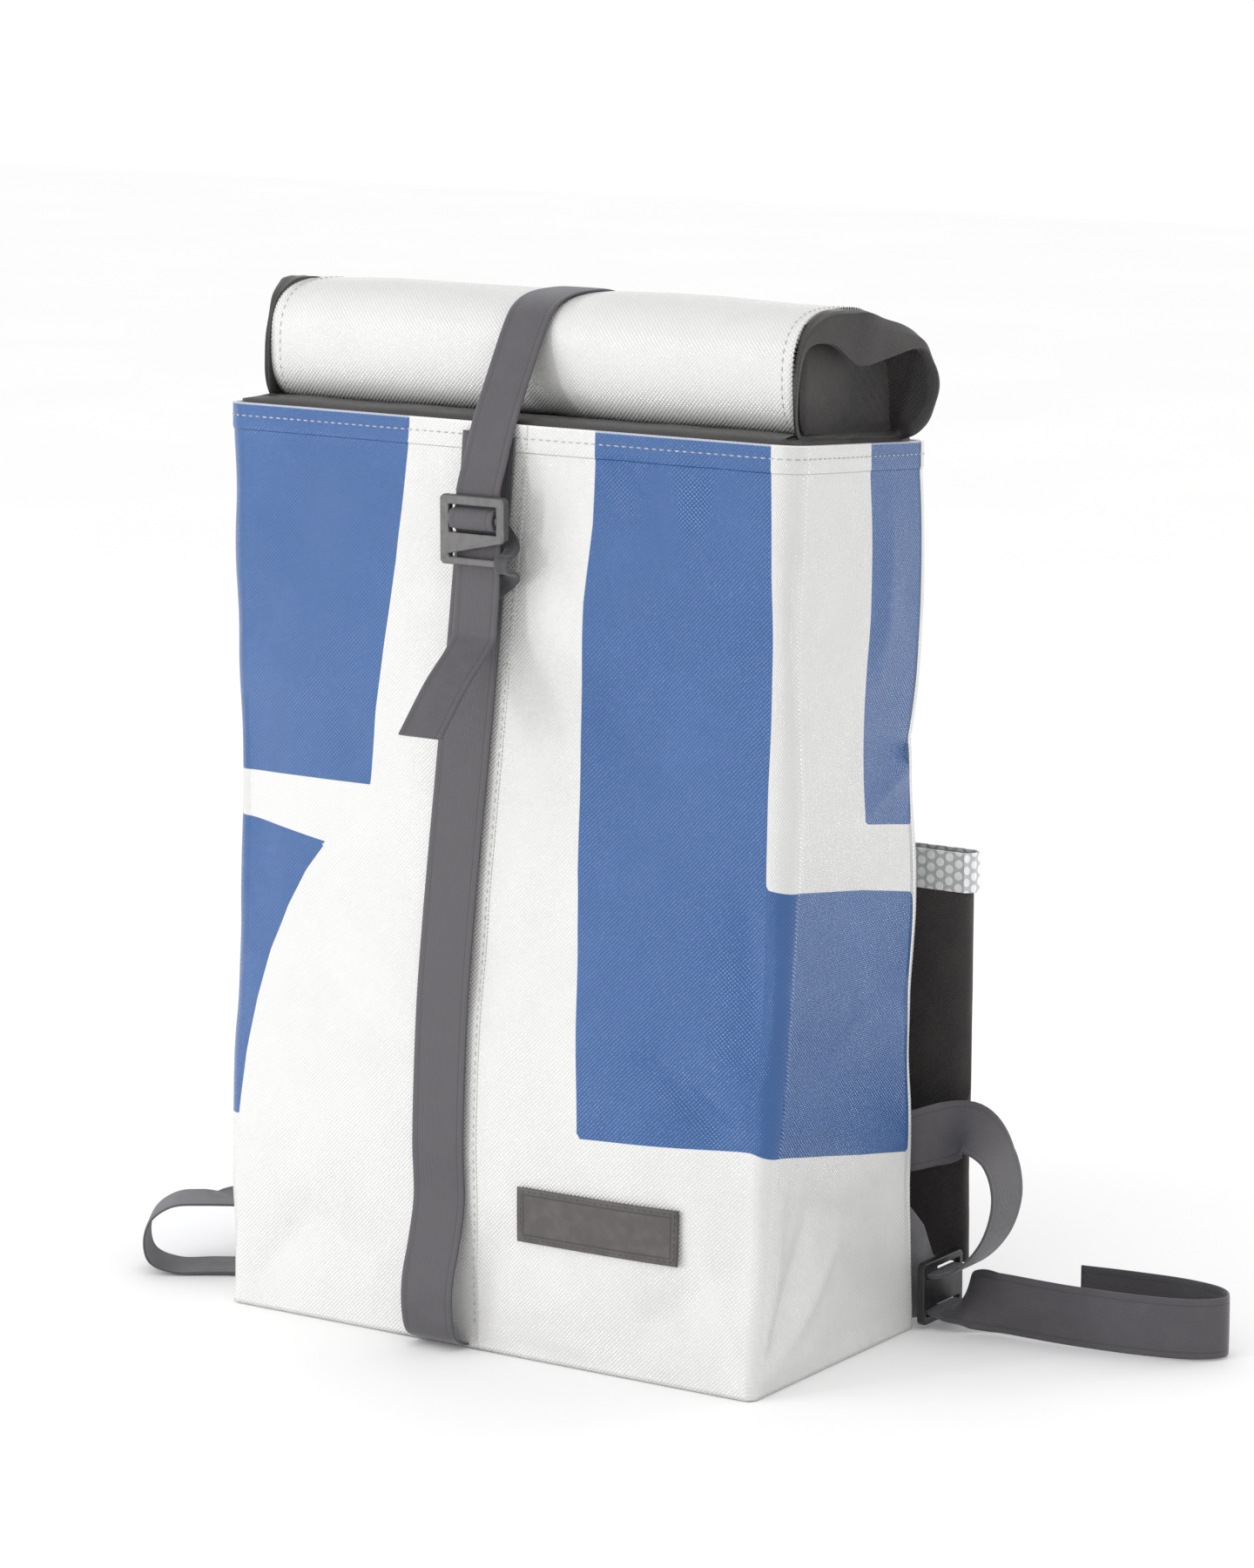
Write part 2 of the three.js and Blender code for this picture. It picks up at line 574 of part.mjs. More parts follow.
function hookBuckle() {
  const half = BUCKLE_WIDTH / 2;
  const window = CLOSING_WEBBING / 2 + 1;
  const mouthLow = BUCKLE_BOTTOM + HOOK_BAR;
  const chamfer = 1.5;
  const outline = [
    [chamfer - half, BUCKLE_BOTTOM],
    [half - chamfer, BUCKLE_BOTTOM],
    [half, BUCKLE_BOTTOM + chamfer],
    [half, mouthLow],
    [-window, mouthLow],
    [-window, mouthLow + HOOK_THROAT],
    [half - chamfer, mouthLow + HOOK_MOUTH],
    [half, mouthLow + HOOK_MOUTH + chamfer],
    [half, BUCKLE_TOP - chamfer],
    [half - chamfer, BUCKLE_TOP],
    [chamfer - half, BUCKLE_TOP],
    [-half, BUCKLE_TOP - chamfer],
    [-half, BUCKLE_BOTTOM + chamfer],
  ];
  const shape = new THREE.Shape(outline.map(([x, z]) => new THREE.Vector2(x, z)));
  shape.holes = [0, 1].map((slot) => {
    const top = BUCKLE_TOP - BUCKLE_RIM - slot * (SLOT_HEIGHT + SLOT_BAR);
    const corners = [[-window, top], [-window, top - SLOT_HEIGHT], [window, top - SLOT_HEIGHT], [window, top]];
    return new THREE.Path(corners.map(([x, z]) => new THREE.Vector2(x, z)));
  });
  const plate = new THREE.ExtrudeGeometry(shape, { depth: BUCKLE_THICKNESS, bevelEnabled: false });
  plate.rotateX(Math.PI / 2);
  plate.translate(0, BUCKLE_Y + BUCKLE_THICKNESS / 2, 0);
  return plate;
}

function hookLoop() {
  const low = BUCKLE_BOTTOM - 15;
  const high = BUCKLE_BOTTOM + 19;
  const lift = WEBBING * 1.5 + 4 * GAP;
  const sewn = (z) => onFront(frontWebbingX(z) + FRONT_WEBBING / 2 - HOOK_LOOP / 2 - 1, z, lift);
  const x = CLOSING_WEBBING / 2 + 1 + HOOK_LOOP / 2;
  const round = WEBBING / 2 + 2 * GAP;
  const at = (back, z) => vec(x, BUCKLE_Y + back, z);
  const half = BUCKLE_THICKNESS / 2;
  const path = [
    sewn(low),
    at(half + 4, BUCKLE_BOTTOM - 4),
    at(half, BUCKLE_BOTTOM - round - 0.6),
    at(-half, BUCKLE_BOTTOM - round),
    at(-half - round, BUCKLE_BOTTOM + HOOK_BAR / 2),
    at(-half, BUCKLE_BOTTOM + HOOK_BAR + round),
    at(half, BUCKLE_BOTTOM + HOOK_BAR + round + 0.6),
    at(half + 4, BUCKLE_BOTTOM + HOOK_BAR + 5),
    sewn(high),
  ];
  return ribbon(path.map((point) => ({ at: point, across: ACROSS })), HOOK_LOOP, WEBBING);
}

function labelPatch() {
  const rows = [-0.5, -0.25, 0, 0.25, 0.5].map((share) => {
    const x = LABEL_X + share * LABEL_WIDTH;
    const slope = frontAt(x, LABEL_Z + LABEL_HEIGHT / 2) - frontAt(x, LABEL_Z - LABEL_HEIGHT / 2);
    return { at: onFront(x, LABEL_Z, LABEL_THICKNESS / 2 + GAP), across: vec(0, slope, LABEL_HEIGHT).normalize() };
  });
  return ribbon(rows, LABEL_HEIGHT, LABEL_THICKNESS, FLAT_SECTION, 2);
}

// Back and shoulder straps

function backPanel() {
  const steps = 9;
  const top = BACK_LIFT + BACK_HEIGHT;
  const rings = Array.from({ length: steps + 1 }, (_, step) => {
    const z = lerp(BACK_LIFT, top, step / steps);
    const crown = Math.min(1, 0.45 + 5 * Math.min(step, steps - step) / steps);
    const front = rearAt(z) + GAP;
    const shape = { half: BACK_WIDTH / 2 - (1 - crown) * BACK_PAD, front, rear: front + BACK_PAD * crown };
    return roundedRing({ ...shape, radius: 0.4 * BACK_PAD * crown }).map((point) => point.setZ(z));
  });
  return loft(rings);
}

function padRing(side, z, grow) {
  const share = (z - PAD_FOOT) / (PAD_TOP - PAD_FOOT);
  const footY = LOCK_Y + LOCK_WIDTH / 2 + GAP + PAD_THICKNESS / 2;
  const x = side * (PAD_OUTER - PAD_WIDTH / 2 - PAD_SPREAD * (1 - share));
  const half = PAD_WIDTH / 2 - PAD_THICKNESS * Math.max(0, 0.1 - 2 * share) + grow;
  const thick = PAD_THICKNESS / 2 + grow;
  return PAD_SECTION.map(([wide, deep]) => vec(x + wide * half, footY - PAD_LEAN * share + deep * thick, z));
}

function shoulderPad(side) {
  const rings = [0, 0.08, 0.25, 0.5, 0.75, 1].map((share) => padRing(side, lerp(PAD_FOOT, PAD_TOP, share), 0));
  return loft(rings);
}

function reflectiveBand(side) {
  const outer = [PAD_TOP - BAND_HEIGHT, PAD_TOP].map((z) => padRing(side, z, GAP + BAND_WALL));
  const inner = [PAD_TOP, PAD_TOP - BAND_HEIGHT].map((z) => padRing(side, z, GAP));
  return loft([...outer, ...inner], true);
}

function upperWebbing(side) {
  const top = padRing(side, PAD_TOP, 0);
  const insideX = PAD_OUTER - PAD_WIDTH + SHOULDER_WEBBING / 2 - 9;
  const y = rearAt(YOKE_HEIGHT) + 2 * GAP + BACK_PAD + WEBBING / 2;
  const foot = vec(side * insideX, (top[0].y + top[3].y) / 2, PAD_TOP + GAP);
  const end = vec(side * YOKE_HALF, y, YOKE_HEIGHT);
  const slant = end.clone().sub(foot);
  const turned = vec(slant.z, 0, -slant.x).normalize();
  const part = (share, out) => vec(
    lerp(foot.x, end.x, share),
    lerp(foot.y, end.y, Math.sqrt(share)) + out,
    lerp(foot.z, end.z, share),
  );
  return ribbon([
    { at: foot, across: ACROSS },
    { at: foot.clone().add(vec(0, 0, SHOULDER_WEBBING / 4)), across: ACROSS },
    { at: part(0.2, 0), across: ACROSS.clone().lerp(turned, 0.6) },
    { at: part(0.45, 1), across: turned },
    { at: part(0.8, 0.5), across: turned },
    { at: end, across: turned },
  ], SHOULDER_WEBBING, WEBBING);
}

// Corner tabs, ladder locks and adjuster webbing

const LOCK_TOP = LOCK_LIFT + LOCK_HEIGHT;
const SLOT_LOW = LOCK_LIFT + LOCK_RIM + LOCK_SLOT / 2;
const SLOT_HIGH = LOCK_TOP - LOCK_RIM - LOCK_SLOT / 2;
const SLOT_REST = GAP + (WEBBING - LOCK_SLOT) / 2;

function cornerTab(side) {
  const y = BASE_DEPTH / 2 + GAP + TAB_THICKNESS / 2;
  const edge = BASE_WIDTH / 2;
  const end = LOCK_X - LOCK_THICKNESS / 2 - GAP - TAB_THICKNESS / 2;
  const rows = [
    { x: edge - 19, y, low: 3, high: TAB_HEIGHT },
    { x: edge - 5, y, low: 3, high: TAB_HEIGHT },
    { x: lerp(edge, end, 0.5), y: lerp(y, LOCK_Y, 0.3), low: 4, high: lerp(TAB_HEIGHT, LOCK_TOP, 0.35) },
    { x: end, y: lerp(y, LOCK_Y, 0.8), low: 5, high: lerp(TAB_HEIGHT, LOCK_TOP, 0.95) },
    { x: end, y: LOCK_Y + TAB_THICKNESS, low: 6, high: LOCK_TOP - 2 },
  ];
  return loft(rows.map((row, index) => {
    const before = rows[Math.max(index - 1, 0)];
    const after = rows[Math.min(index + 1, rows.length - 1)];
    const along = vec(side * (after.x - before.x), after.y - before.y, 0).normalize();
    const out = vec(-along.y, along.x, 0).multiplyScalar(TAB_THICKNESS / 2);
    const corners = [[-1, row.low], [1, row.low], [1, row.high], [-1, row.high]];
    return corners.map(([face, z]) => vec(side * row.x, row.y, z).addScaledVector(out, face));
  }));
}

function ladderLock(side) {
  const half = LOCK_WIDTH / 2;
  const slotHalf = SHOULDER_WEBBING / 2 + 1;
  const chamfer = 2;
  const outline = [
    [chamfer - half, LOCK_LIFT],
    [half - chamfer, LOCK_LIFT],
    [half, LOCK_LIFT + chamfer],
    [half, LOCK_TOP - chamfer],
    [half - chamfer, LOCK_TOP],
    [chamfer - half, LOCK_TOP],
    [-half, LOCK_TOP - chamfer],
    [-half, LOCK_LIFT + chamfer],
  ];
  const shape = new THREE.Shape(outline.map(([y, z]) => new THREE.Vector2(y, z)));
  shape.holes = [SLOT_LOW, SLOT_HIGH].map((middle) => {
    const [low, high] = [middle - LOCK_SLOT / 2, middle + LOCK_SLOT / 2];
    const corners = [[-slotHalf, low], [-slotHalf, high], [slotHalf, high], [slotHalf, low]];
    return new THREE.Path(corners.map(([y, z]) => new THREE.Vector2(y, z)));
  });
  const plate = new THREE.ExtrudeGeometry(shape, { depth: LOCK_THICKNESS, bevelEnabled: false });
  plate.rotateX(Math.PI / 2);
  plate.rotateZ(Math.PI / 2);
  plate.translate(side * LOCK_X - LOCK_THICKNESS / 2, LOCK_Y, 0);
  return plate;
}

function leaning(heading, lean, side) {
  const way = degToRad(heading);
  const flat = Math.cos(degToRad(lean));
  return vec(-side * Math.sin(way) * flat, Math.cos(way) * flat, Math.sin(degToRad(lean)));
}

function webbingTail(side) {
  const route = side > 0 ? RIGHT_ROUTE : LEFT_ROUTE;
  const reach = side > 0 ? RIGHT_TAIL : LEFT_TAIL;
  const rows = route.map((row) => ({
    at: vec(
      side * (LOCK_X + row.out * reach),
      LOCK_Y + row.back * reach,
      lerp(FLOOR_CLEARANCE + row.up * SHOULDER_WEBBING, SLOT_LOW, row.slot ?? 0),
    ),
    across: leaning(row.heading, row.lean, side),
  }));
  return ribbon(rows, SHOULDER_WEBBING, WEBBING);
}

function adjusterWebbing(side) {
  const bagY = rearAt(ARCH_HEIGHT) + GAP + WEBBING / 2;
  const rows = ARCH_ROUTE.map((row) => ({
    at: vec(
      side * (LOCK_X + row.out * ARCH_REACH),
      lerp(bagY, LOCK_Y, row.back),
      lerp(SLOT_HIGH + SLOT_REST, ARCH_HEIGHT, row.up),
    ),
    across: leaning(0, row.lean, side),
  }));
  return ribbon(rows, SHOULDER_WEBBING, WEBBING);
}

// Assembly

const backpack = new THREE.Group();

function addPiece(name, geometry, finish) {
  const piece = new THREE.Mesh(geometry, new THREE.MeshStandardMaterial(FINISHES[finish]));
  piece.name = name;
  backpack.add(piece);
}

addPiece('body_shell', bodyShell(), 'tarp');
addPiece('collar', collar(), 'textile');
addPiece('roll_panel', rollPanel(), 'tarp');
addPiece('front_webbing', frontWebbing(), 'webbing');
addPiece('closing_strap', closingStrap(), 'webbing');
addPiece('hook_buckle', hookBuckle(), 'metal');
addPiece('hook_loop', hookLoop(), 'webbing');
addPiece('label_patch', labelPatch(), 'label');
addPiece('back_panel', backPanel(), 'padding');

[{ name: 'right', side: 1 }, { name: 'left', side: -1 }].forEach(({ name, side }) => {
  addPiece(`roll_end_${name}`, gussetEnd(side), 'textile');
  addPiece(`shoulder_pad_${name}`, shoulderPad(side), 'padding');
  addPiece(`reflective_band_${name}`, reflectiveBand(side), 'reflective');
  addPiece(`upper_webbing_${name}`, upperWebbing(side), 'webbing');
  addPiece(`corner_tab_${name}`, cornerTab(side), 'tab');
  addPiece(`ladder_lock_${name}`, ladderLock(side), 'plastic');
  addPiece(`adjuster_webbing_${name}`, adjusterWebbing(side), 'webbing');
  addPiece(`webbing_tail_${name}`, webbingTail(side), 'webbing');
});

export default backpack;
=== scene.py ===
# %% [markdown]
# # A roll-top backpack of glossy tarpaulin
# The bag is a thin tarpaulin shell, closed by a roll that a webbing strap holds down.
# The exact frame comes from the CAD model, and this lesson dresses it: a finer shell with folds,
# woven straps, padded panels, stitches and procedural finishes.
# All lengths are in metres, +Z is up and the front faces -Y.

import math

import bmesh
import bpy
import numpy as np
from mathutils import Matrix, Vector, noise


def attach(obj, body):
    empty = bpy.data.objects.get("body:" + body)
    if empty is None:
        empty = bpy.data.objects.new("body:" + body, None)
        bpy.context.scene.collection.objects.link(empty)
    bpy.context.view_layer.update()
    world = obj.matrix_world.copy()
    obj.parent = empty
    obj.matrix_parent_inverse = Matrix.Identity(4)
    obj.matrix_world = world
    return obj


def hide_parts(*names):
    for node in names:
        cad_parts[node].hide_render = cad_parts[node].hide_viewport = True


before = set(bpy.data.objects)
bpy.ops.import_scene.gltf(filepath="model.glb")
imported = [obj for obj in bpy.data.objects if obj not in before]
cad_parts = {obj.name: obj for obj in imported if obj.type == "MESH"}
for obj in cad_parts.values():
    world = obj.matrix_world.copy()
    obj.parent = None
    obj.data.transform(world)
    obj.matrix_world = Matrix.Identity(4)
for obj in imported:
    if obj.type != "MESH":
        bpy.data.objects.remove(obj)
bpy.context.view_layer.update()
MM = 0.001
print("CAD nodes", len(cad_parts))

# %% [markdown]
# ## Camera
# The photo looks down a little at the bag's front right corner through a long lens. The camera stands
# 2.5 m away, so the verticals stay nearly parallel, as they do in the photo.

# %% Camera
azimuth = math.radians(34.2)
camera_data = bpy.data.cameras.new("camera")
camera_data.sensor_width = 36
camera_data.lens = 122.6
camera = bpy.data.objects.new("camera", camera_data)
camera.location = (2.547 * math.sin(azimuth), -2.547 * math.cos(azimuth), 0.747)
gaze = Vector((0.034, 0, 0.270)) - camera.location
camera.rotation_euler = gaze.to_track_quat("-Z", "Y").to_euler()
camera_data.clip_end = 30
bpy.context.scene.collection.objects.link(camera)
bpy.context.scene.camera = camera
print("camera at", tuple(round(c, 3) for c in camera.location))

# %% [markdown]
# ## Helpers for materials
# Every finish is a node tree. Three small helpers keep the trees short: one adds a node and wires its
# inputs, one does arithmetic, and one starts a material from a Principled shader.

# %% Node helpers
def add_node(tree, kind, settings=None, **inputs):
    node = tree.nodes.new(kind)
    for key, value in (settings or {}).items():
        setattr(node, key, value)
    for key, value in inputs.items():
        numbered = key[0] == "i" and key[1:].isdigit()
        socket = node.inputs[int(key[1:]) if numbered else key.replace("_", " ")]
        if isinstance(value, bpy.types.NodeSocket):
            tree.links.new(value, socket)
        else:
            socket.default_value = value
    return node


def maths(tree, operation, a, b=0.0, c=0.0):
    return add_node(tree, "ShaderNodeMath", {"operation": operation}, i0=a, i1=b, i2=c).outputs[0]


def mix_colour(tree, share, a, b):
    node = add_node(tree, "ShaderNodeMix", {"data_type": "RGBA"}, i0=share, i6=a, i7=b)
    return node.outputs[2]


def ramp(tree, value, low, high, to_low=0.0, to_high=1.0):
    settings = {"interpolation_type": "SMOOTHSTEP"}
    node = add_node(tree, "ShaderNodeMapRange", settings, i0=value, i1=low, i2=high, i3=to_low, i4=to_high)
    return node.outputs[0]


def fuzz(tree, vector, scale, detail=3.0, roughness=0.5):
    sockets = {"Vector": vector, "Scale": scale, "Detail": detail, "Roughness": roughness}
    return add_node(tree, "ShaderNodeTexNoise", None, **sockets).outputs[0]


def bump(tree, height, distance, strength=1.0, normal=None):
    node = add_node(tree, "ShaderNodeBump", None, Height=height, Distance=distance, Strength=strength)
    if normal is not None:
        tree.links.new(normal, node.inputs["Normal"])
    return node.outputs[0]


def new_finish(name, roughness=0.5, **sockets):
    finish = bpy.data.materials.new(name)
    finish.use_nodes = True
    tree = finish.node_tree
    shader = tree.nodes["Principled BSDF"]
    shader.inputs["Roughness"].default_value = roughness
    for key, value in sockets.items():
        shader.inputs[key.replace("_", " ")].default_value = value
    return finish, tree, shader


def wire(tree, shader, **sources):
    for key, source in sources.items():
        tree.links.new(source, shader.inputs[key.replace("_", " ")])


def attribute(tree, name):
    return add_node(tree, "ShaderNodeAttribute", {"attribute_name": name}).outputs["Fac"]


def own_point(tree):
    return add_node(tree, "ShaderNodeTexCoord").outputs["Object"]


def split(tree, vector):
    return add_node(tree, "ShaderNodeSeparateXYZ", None, i0=vector).outputs


print("node helpers ready")

# %% [markdown]
# ## Helpers for shapes
# Tarpaulin, straps and gussets are all sheets that follow a path. Each starts as Blender's own grid.
# Its two directions are then laid along the piece, the long edges meet and merge into a closed skin,
# and the open ends are filled. A grid keeps neat rows, which take folds and a weave well.

# %% Grid helper
def sheet_mesh(name, columns, rows, place, measure, close_ends=True):
    """A closed skin: place(u, v) gives points and measure(u, v) gives lengths for the UV map."""
    bm = bmesh.new()
    bmesh.ops.create_grid(bm, x_segments=columns, y_segments=rows, size=0.5)
    layer = bm.loops.layers.uv.new("UVMap")
    flat = np.array([vertex.co for vertex in bm.verts]) + 0.5
    points = place(flat[:, 0], flat[:, 1])
    lengths = measure(flat[:, 0], flat[:, 1])
    for vertex, point in zip(bm.verts, points):
        vertex.co = point
    for face in bm.faces:
        face.smooth = True
        for loop in face.loops:
            loop[layer].uv = lengths[loop.vert.index]
    extra = getattr(place, "extra", None)
    for key, values in (extra(flat[:, 0], flat[:, 1]) if extra else {}).items():
        field = bm.verts.layers.float.new(key)
        for vertex, value in zip(bm.verts, values):
            vertex[field] = value
    bmesh.ops.remove_doubles(bm, verts=bm.verts, dist=2e-6)
    if close_ends:
        open_edges = [edge for edge in bm.edges if edge.is_boundary]
        bmesh.ops.holes_fill(bm, edges=open_edges)
    bmesh.ops.recalc_face_normals(bm, faces=bm.faces)
    mesh = bpy.data.meshes.new(name)
    bm.to_mesh(mesh)
    bm.free()
    return mesh


def show(name, mesh, finish, node=None):
    piece = bpy.data.objects.new(name, mesh)
    bpy.context.scene.collection.objects.link(piece)
    mesh.materials.clear()
    mesh.materials.append(finish)
    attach(piece, "root")
    if node:
        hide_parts(node)
    print(name, len(mesh.polygons), "faces")
    return piece


def lerp(a, b, share):
    return a + (b - a) * share


def ease(value, low, high):
    share = np.clip((value - low) / (high - low), 0, 1)
    return share * share * (3 - 2 * share)


# %% [markdown]
# ## Straps as bands
# A strap is a ribbon of webbing that follows a smooth curve. A centripetal curve through a few points
# never overshoots, and an "across" direction at each point says how the ribbon leans. The band's
# section is a flat rounded loop, so its edges catch the light as real webbing does.

# %% Curve and band helpers
def smooth_path(points, steps):
    points = [Vector(p) for p in points]
    padded = [points[0] * 2 - points[1], *points, points[-1] * 2 - points[-2]]
    path = []
    for index in range(len(points) - 1):
        p0, p1, p2, p3 = padded[index:index + 4]
        d0, d1, d2 = (max((b - a).length, 1e-9) ** 0.5 for a, b in ((p0, p1), (p1, p2), (p2, p3)))
        t1 = ((p1 - p0) / d0 - (p2 - p0) / (d0 + d1) + (p2 - p1) / d1) * d1
        t2 = ((p2 - p1) / d1 - (p3 - p1) / (d1 + d2) + (p3 - p2) / d2) * d1
        for step in range(steps):
            t = step / steps
            square = 3 * p2 - 3 * p1 - 2 * t1 - t2
            cube = 2 * p1 - 2 * p2 + t1 + t2
            path.append(p1 + t1 * t + square * t ** 2 + cube * t ** 3)
    return path + [points[-1]]


def band_mesh(name, rows, width, thickness, steps=8, columns=28):
    """A closed ribbon along rows of (point, across)."""
    centres = smooth_path([row[0] for row in rows], steps)
    count = len(centres)
    frames, lengths, total = [], [0.0], 0.0
    for index, centre in enumerate(centres):
        share = index / steps
        low = min(int(share), len(rows) - 2)
        along = (centres[min(index + 1, count - 1)] - centres[max(index - 1, 0)]).normalized()
        across = Vector(rows[low][1]).lerp(Vector(rows[low + 1][1]), share - low)
        across = (across - along * across.dot(along)).normalized()
        frames.append((centre, across, along.cross(across)))
        if index:
            total += (centre - centres[index - 1]).length
            lengths.append(total)
    centre_table, across_table, up_table = (np.array([f[k] for f in frames]) for k in range(3))
    lengths = np.array(lengths)

    def section(u):
        angle = u * 2 * math.pi
        c, s = np.cos(angle), np.sin(angle)
        side = np.sign(c) * np.abs(c) ** 0.55
        face = np.sign(s) * np.abs(s) ** 0.3
        return side, face

    def place(u, v):
        row = np.rint(v * (count - 1)).astype(int)
        side, face = section(u)
        middle = centre_table[row] + across_table[row] * (side * width / 2)[:, None]
        return middle + up_table[row] * (face * thickness / 2)[:, None]

    def measure(u, v):
        row = np.rint(v * (count - 1)).astype(int)
        return np.stack([section(u)[0] * width / 2, lengths[row]], 1)

    return sheet_mesh(name, columns, count - 1, place, measure)


ACROSS = (1, 0, 0)


def level_rows(points):
    return [(point, ACROSS) for point in points]


# %% [markdown]
# ## The bag's outline
# The body is a box with rounded upright edges. It leans in slightly towards the hem, its front is
# crowned, and its corners grow rounder from the sewn base to the hem. The tables say how far each
# measure has gone from its value at the base to its value at the hem.

# %% Body outline
BASE_HALF, HEM_HALF = 154 * MM, 163 * MM
BASE_FRONT, HEM_FRONT = 75 * MM, 57 * MM
BASE_REAR, HEM_REAR = 75 * MM, 67 * MM
BASE_CORNER, HEM_CORNER = 5 * MM, 11 * MM
FRONT_CROWN = 8 * MM
HEM = 448 * MM
REAR_DROP = 10 * MM
DENT_UNIT = 150 * MM
TARP = 2.2 * MM
GAP = 0.4 * MM
HEIGHTS = np.array([0, .012, .05, .1, .16, .22, .3, .38, .46, .54, .62, .7, .78, .86, .93, 1])
SPREADS = np.array([0, .02, .1, .2, .32, .44, .58, .7, .8, .88, .94, .98, 1, 1, 1, 1])
CORNERS = np.array([0, .02, .12, .3, .5, .68, .8, .9, 1, 1, 1, 1, 1, 1, 1, 1])
CROWNS = np.array([0, .05, .3, .55, .8, 1, 1.1, 1.1, 1.05, 1, .9, .8, .7, .6, .45, .34])


def outline_at(z):
    height = np.clip(np.asarray(z) / HEM, 0, 1)
    spread = np.interp(height, HEIGHTS, SPREADS)
    return {
        "half": lerp(BASE_HALF, HEM_HALF, spread),
        "front": -lerp(BASE_FRONT, HEM_FRONT, spread),
        "rear": lerp(BASE_REAR, HEM_REAR, spread),
        "radius": lerp(BASE_CORNER, HEM_CORNER, np.interp(height, HEIGHTS, CORNERS)),
        "crown": FRONT_CROWN * np.interp(height, HEIGHTS, CROWNS),
    }


def hem_top(y):
    return HEM - REAR_DROP * (y + HEM_FRONT) / (HEM_FRONT + HEM_REAR)


# Soft dents and bulges: where (shares of half width, half depth and hem height), then size and
# depth in dent units. A negative depth bulges out.
DENTS = [
    (1, 0.7, 0.665, 0.24, 0.026), (1, -0.1, 0.4, 0.5, 0.02), (0.7, -1, 0.3, 0.45, -0.02),
    (0.35, -1, 0.52, 0.5, 0.02), (0.95, -0.8, 0.22, 0.3, 0.025), (1, 0.3, 0.16, 0.34, 0.028),
    (-0.6, -1, 0.3, 0.6, -0.02), (-1, 0.2, 0.5, 0.6, 0.025),
]


def dent_depth(x, y, z):
    total = 0
    for across, through, up, size, depth in DENTS:
        reach = (x - across * BASE_HALF) ** 2 + (y - through * BASE_FRONT) ** 2 + (z - up * HEM) ** 2
        total = total + depth * DENT_UNIT * np.exp(-reach / (size * DENT_UNIT) ** 2)
    return total


def front_at(x, z):
    outline = outline_at(z)
    y = outline["front"] - outline["crown"] * (1 - (x / outline["half"]) ** 2)
    return float(y + dent_depth(x, y, z))


def rear_at(z):
    return float(outline_at(z * HEM / hem_top(HEM_REAR))["rear"])


def webbing_x(z):
    return lerp(-23, -1, float(ease(np.array(z / HEM), 0.35, 1.1))) * MM


print("front of the bag at half height", round(front_at(0, 0.224), 4))

# %% [markdown]
# ## The tarpaulin body
# The real bag is cut from an old truck tarpaulin: a heavy coated sheet that keeps long soft folds
# and a few sharp creases where the base is boxed. The shell is one grid that runs over the base, up
# the walls, over the hem and down the inside, so it is hollow like the real one. Folds are listed on
# the unrolled wall, each as a line with a width and a depth.

# %% Fold table
# Each fold: start and end on the unrolled wall (mm round the bag from the front's middle, mm up),
# width, depth in mm. A positive depth presses in, a negative one stands out.
FOLDS = [
    (150, 8, 196, 74, 9, 2.6), (150, 6, 226, 58, 7, -1.6), (152, 10, 170, 96, 8, -1.5),
    (148, 4, 96, 44, 12, 1.6), (150, 10, 118, 78, 9, -1.4), (186, 86, 250, 64, 12, 1.5),
    (100, 150, 140, 118, 9, 2.4), (112, 168, 150, 150, 8, -1.5), (138, 236, 150, 170, 10, 1.6),
    (196, 150, 282, 176, 16, 1.8), (262, 290, 292, 302, 6, 1.9), (236, 268, 286, 296, 9, -1.6),
    (70, 438, 88, 400, 10, 1.3), (96, 440, 104, 396, 8, -1.1), (124, 438, 118, 408, 8, 1.1),
    (60, 330, 110, 250, 30, 1.6), (-120, 60, -60, 30, 22, 1.5), (-140, 12, -104, 52, 10, 1.5),
    (-100, 420, -128, 360, 20, 1.2), (-60, 250, -110, 170, 34, 1.5), (20, 20, 70, 40, 16, -1.2),
    (90, 26, 140, 60, 14, 1.7), (170, 420, 176, 330, 12, 1.2), (250, 420, 244, 340, 12, -1.2),
    (-40, 26, -34, 70, 7, -1.4), (2, 18, 10, 62, 8, 1.2), (30, 190, 46, 110, 22, 1.3),
    (-150, 300, -140, 200, 14, 1.3),
]


FOLD_STRENGTH = 1.6


def fold_depth(s, z):
    total = np.zeros_like(s)
    for s0, z0, s1, z1, width, depth in FOLDS:
        ds, dz = (s1 - s0) * MM, (z1 - z0) * MM
        along = ((s - s0 * MM) * ds + (z - z0 * MM) * dz) / (ds * ds + dz * dz)
        near = np.clip(along, 0, 1)
        off = np.hypot(s - s0 * MM - near * ds, z - z0 * MM - near * dz) / (width * MM)
        fade = 0.35 + 0.65 * np.sin(np.clip(along, 0.02, 0.98) * math.pi)
        total += FOLD_STRENGTH * depth * MM * np.exp(-off ** 1.5) * fade
    return total


def ripples(points, size, seed):
    shift = Vector((seed * 7.3, seed * 3.1, seed * 5.7))
    return np.array([noise.noise(Vector(p) / size + shift) for p in points])


print(len(FOLDS), "folds")

# %% [markdown]
# ## Blocks of colour
# The sheet is printed in white and blue blocks with clean edges. Each block is a polygon on the
# unrolled wall. A vertex attribute stores the distance to the nearest edge, and the shader turns it
# into colour, so the edge stays sharp however coarse the grid is.

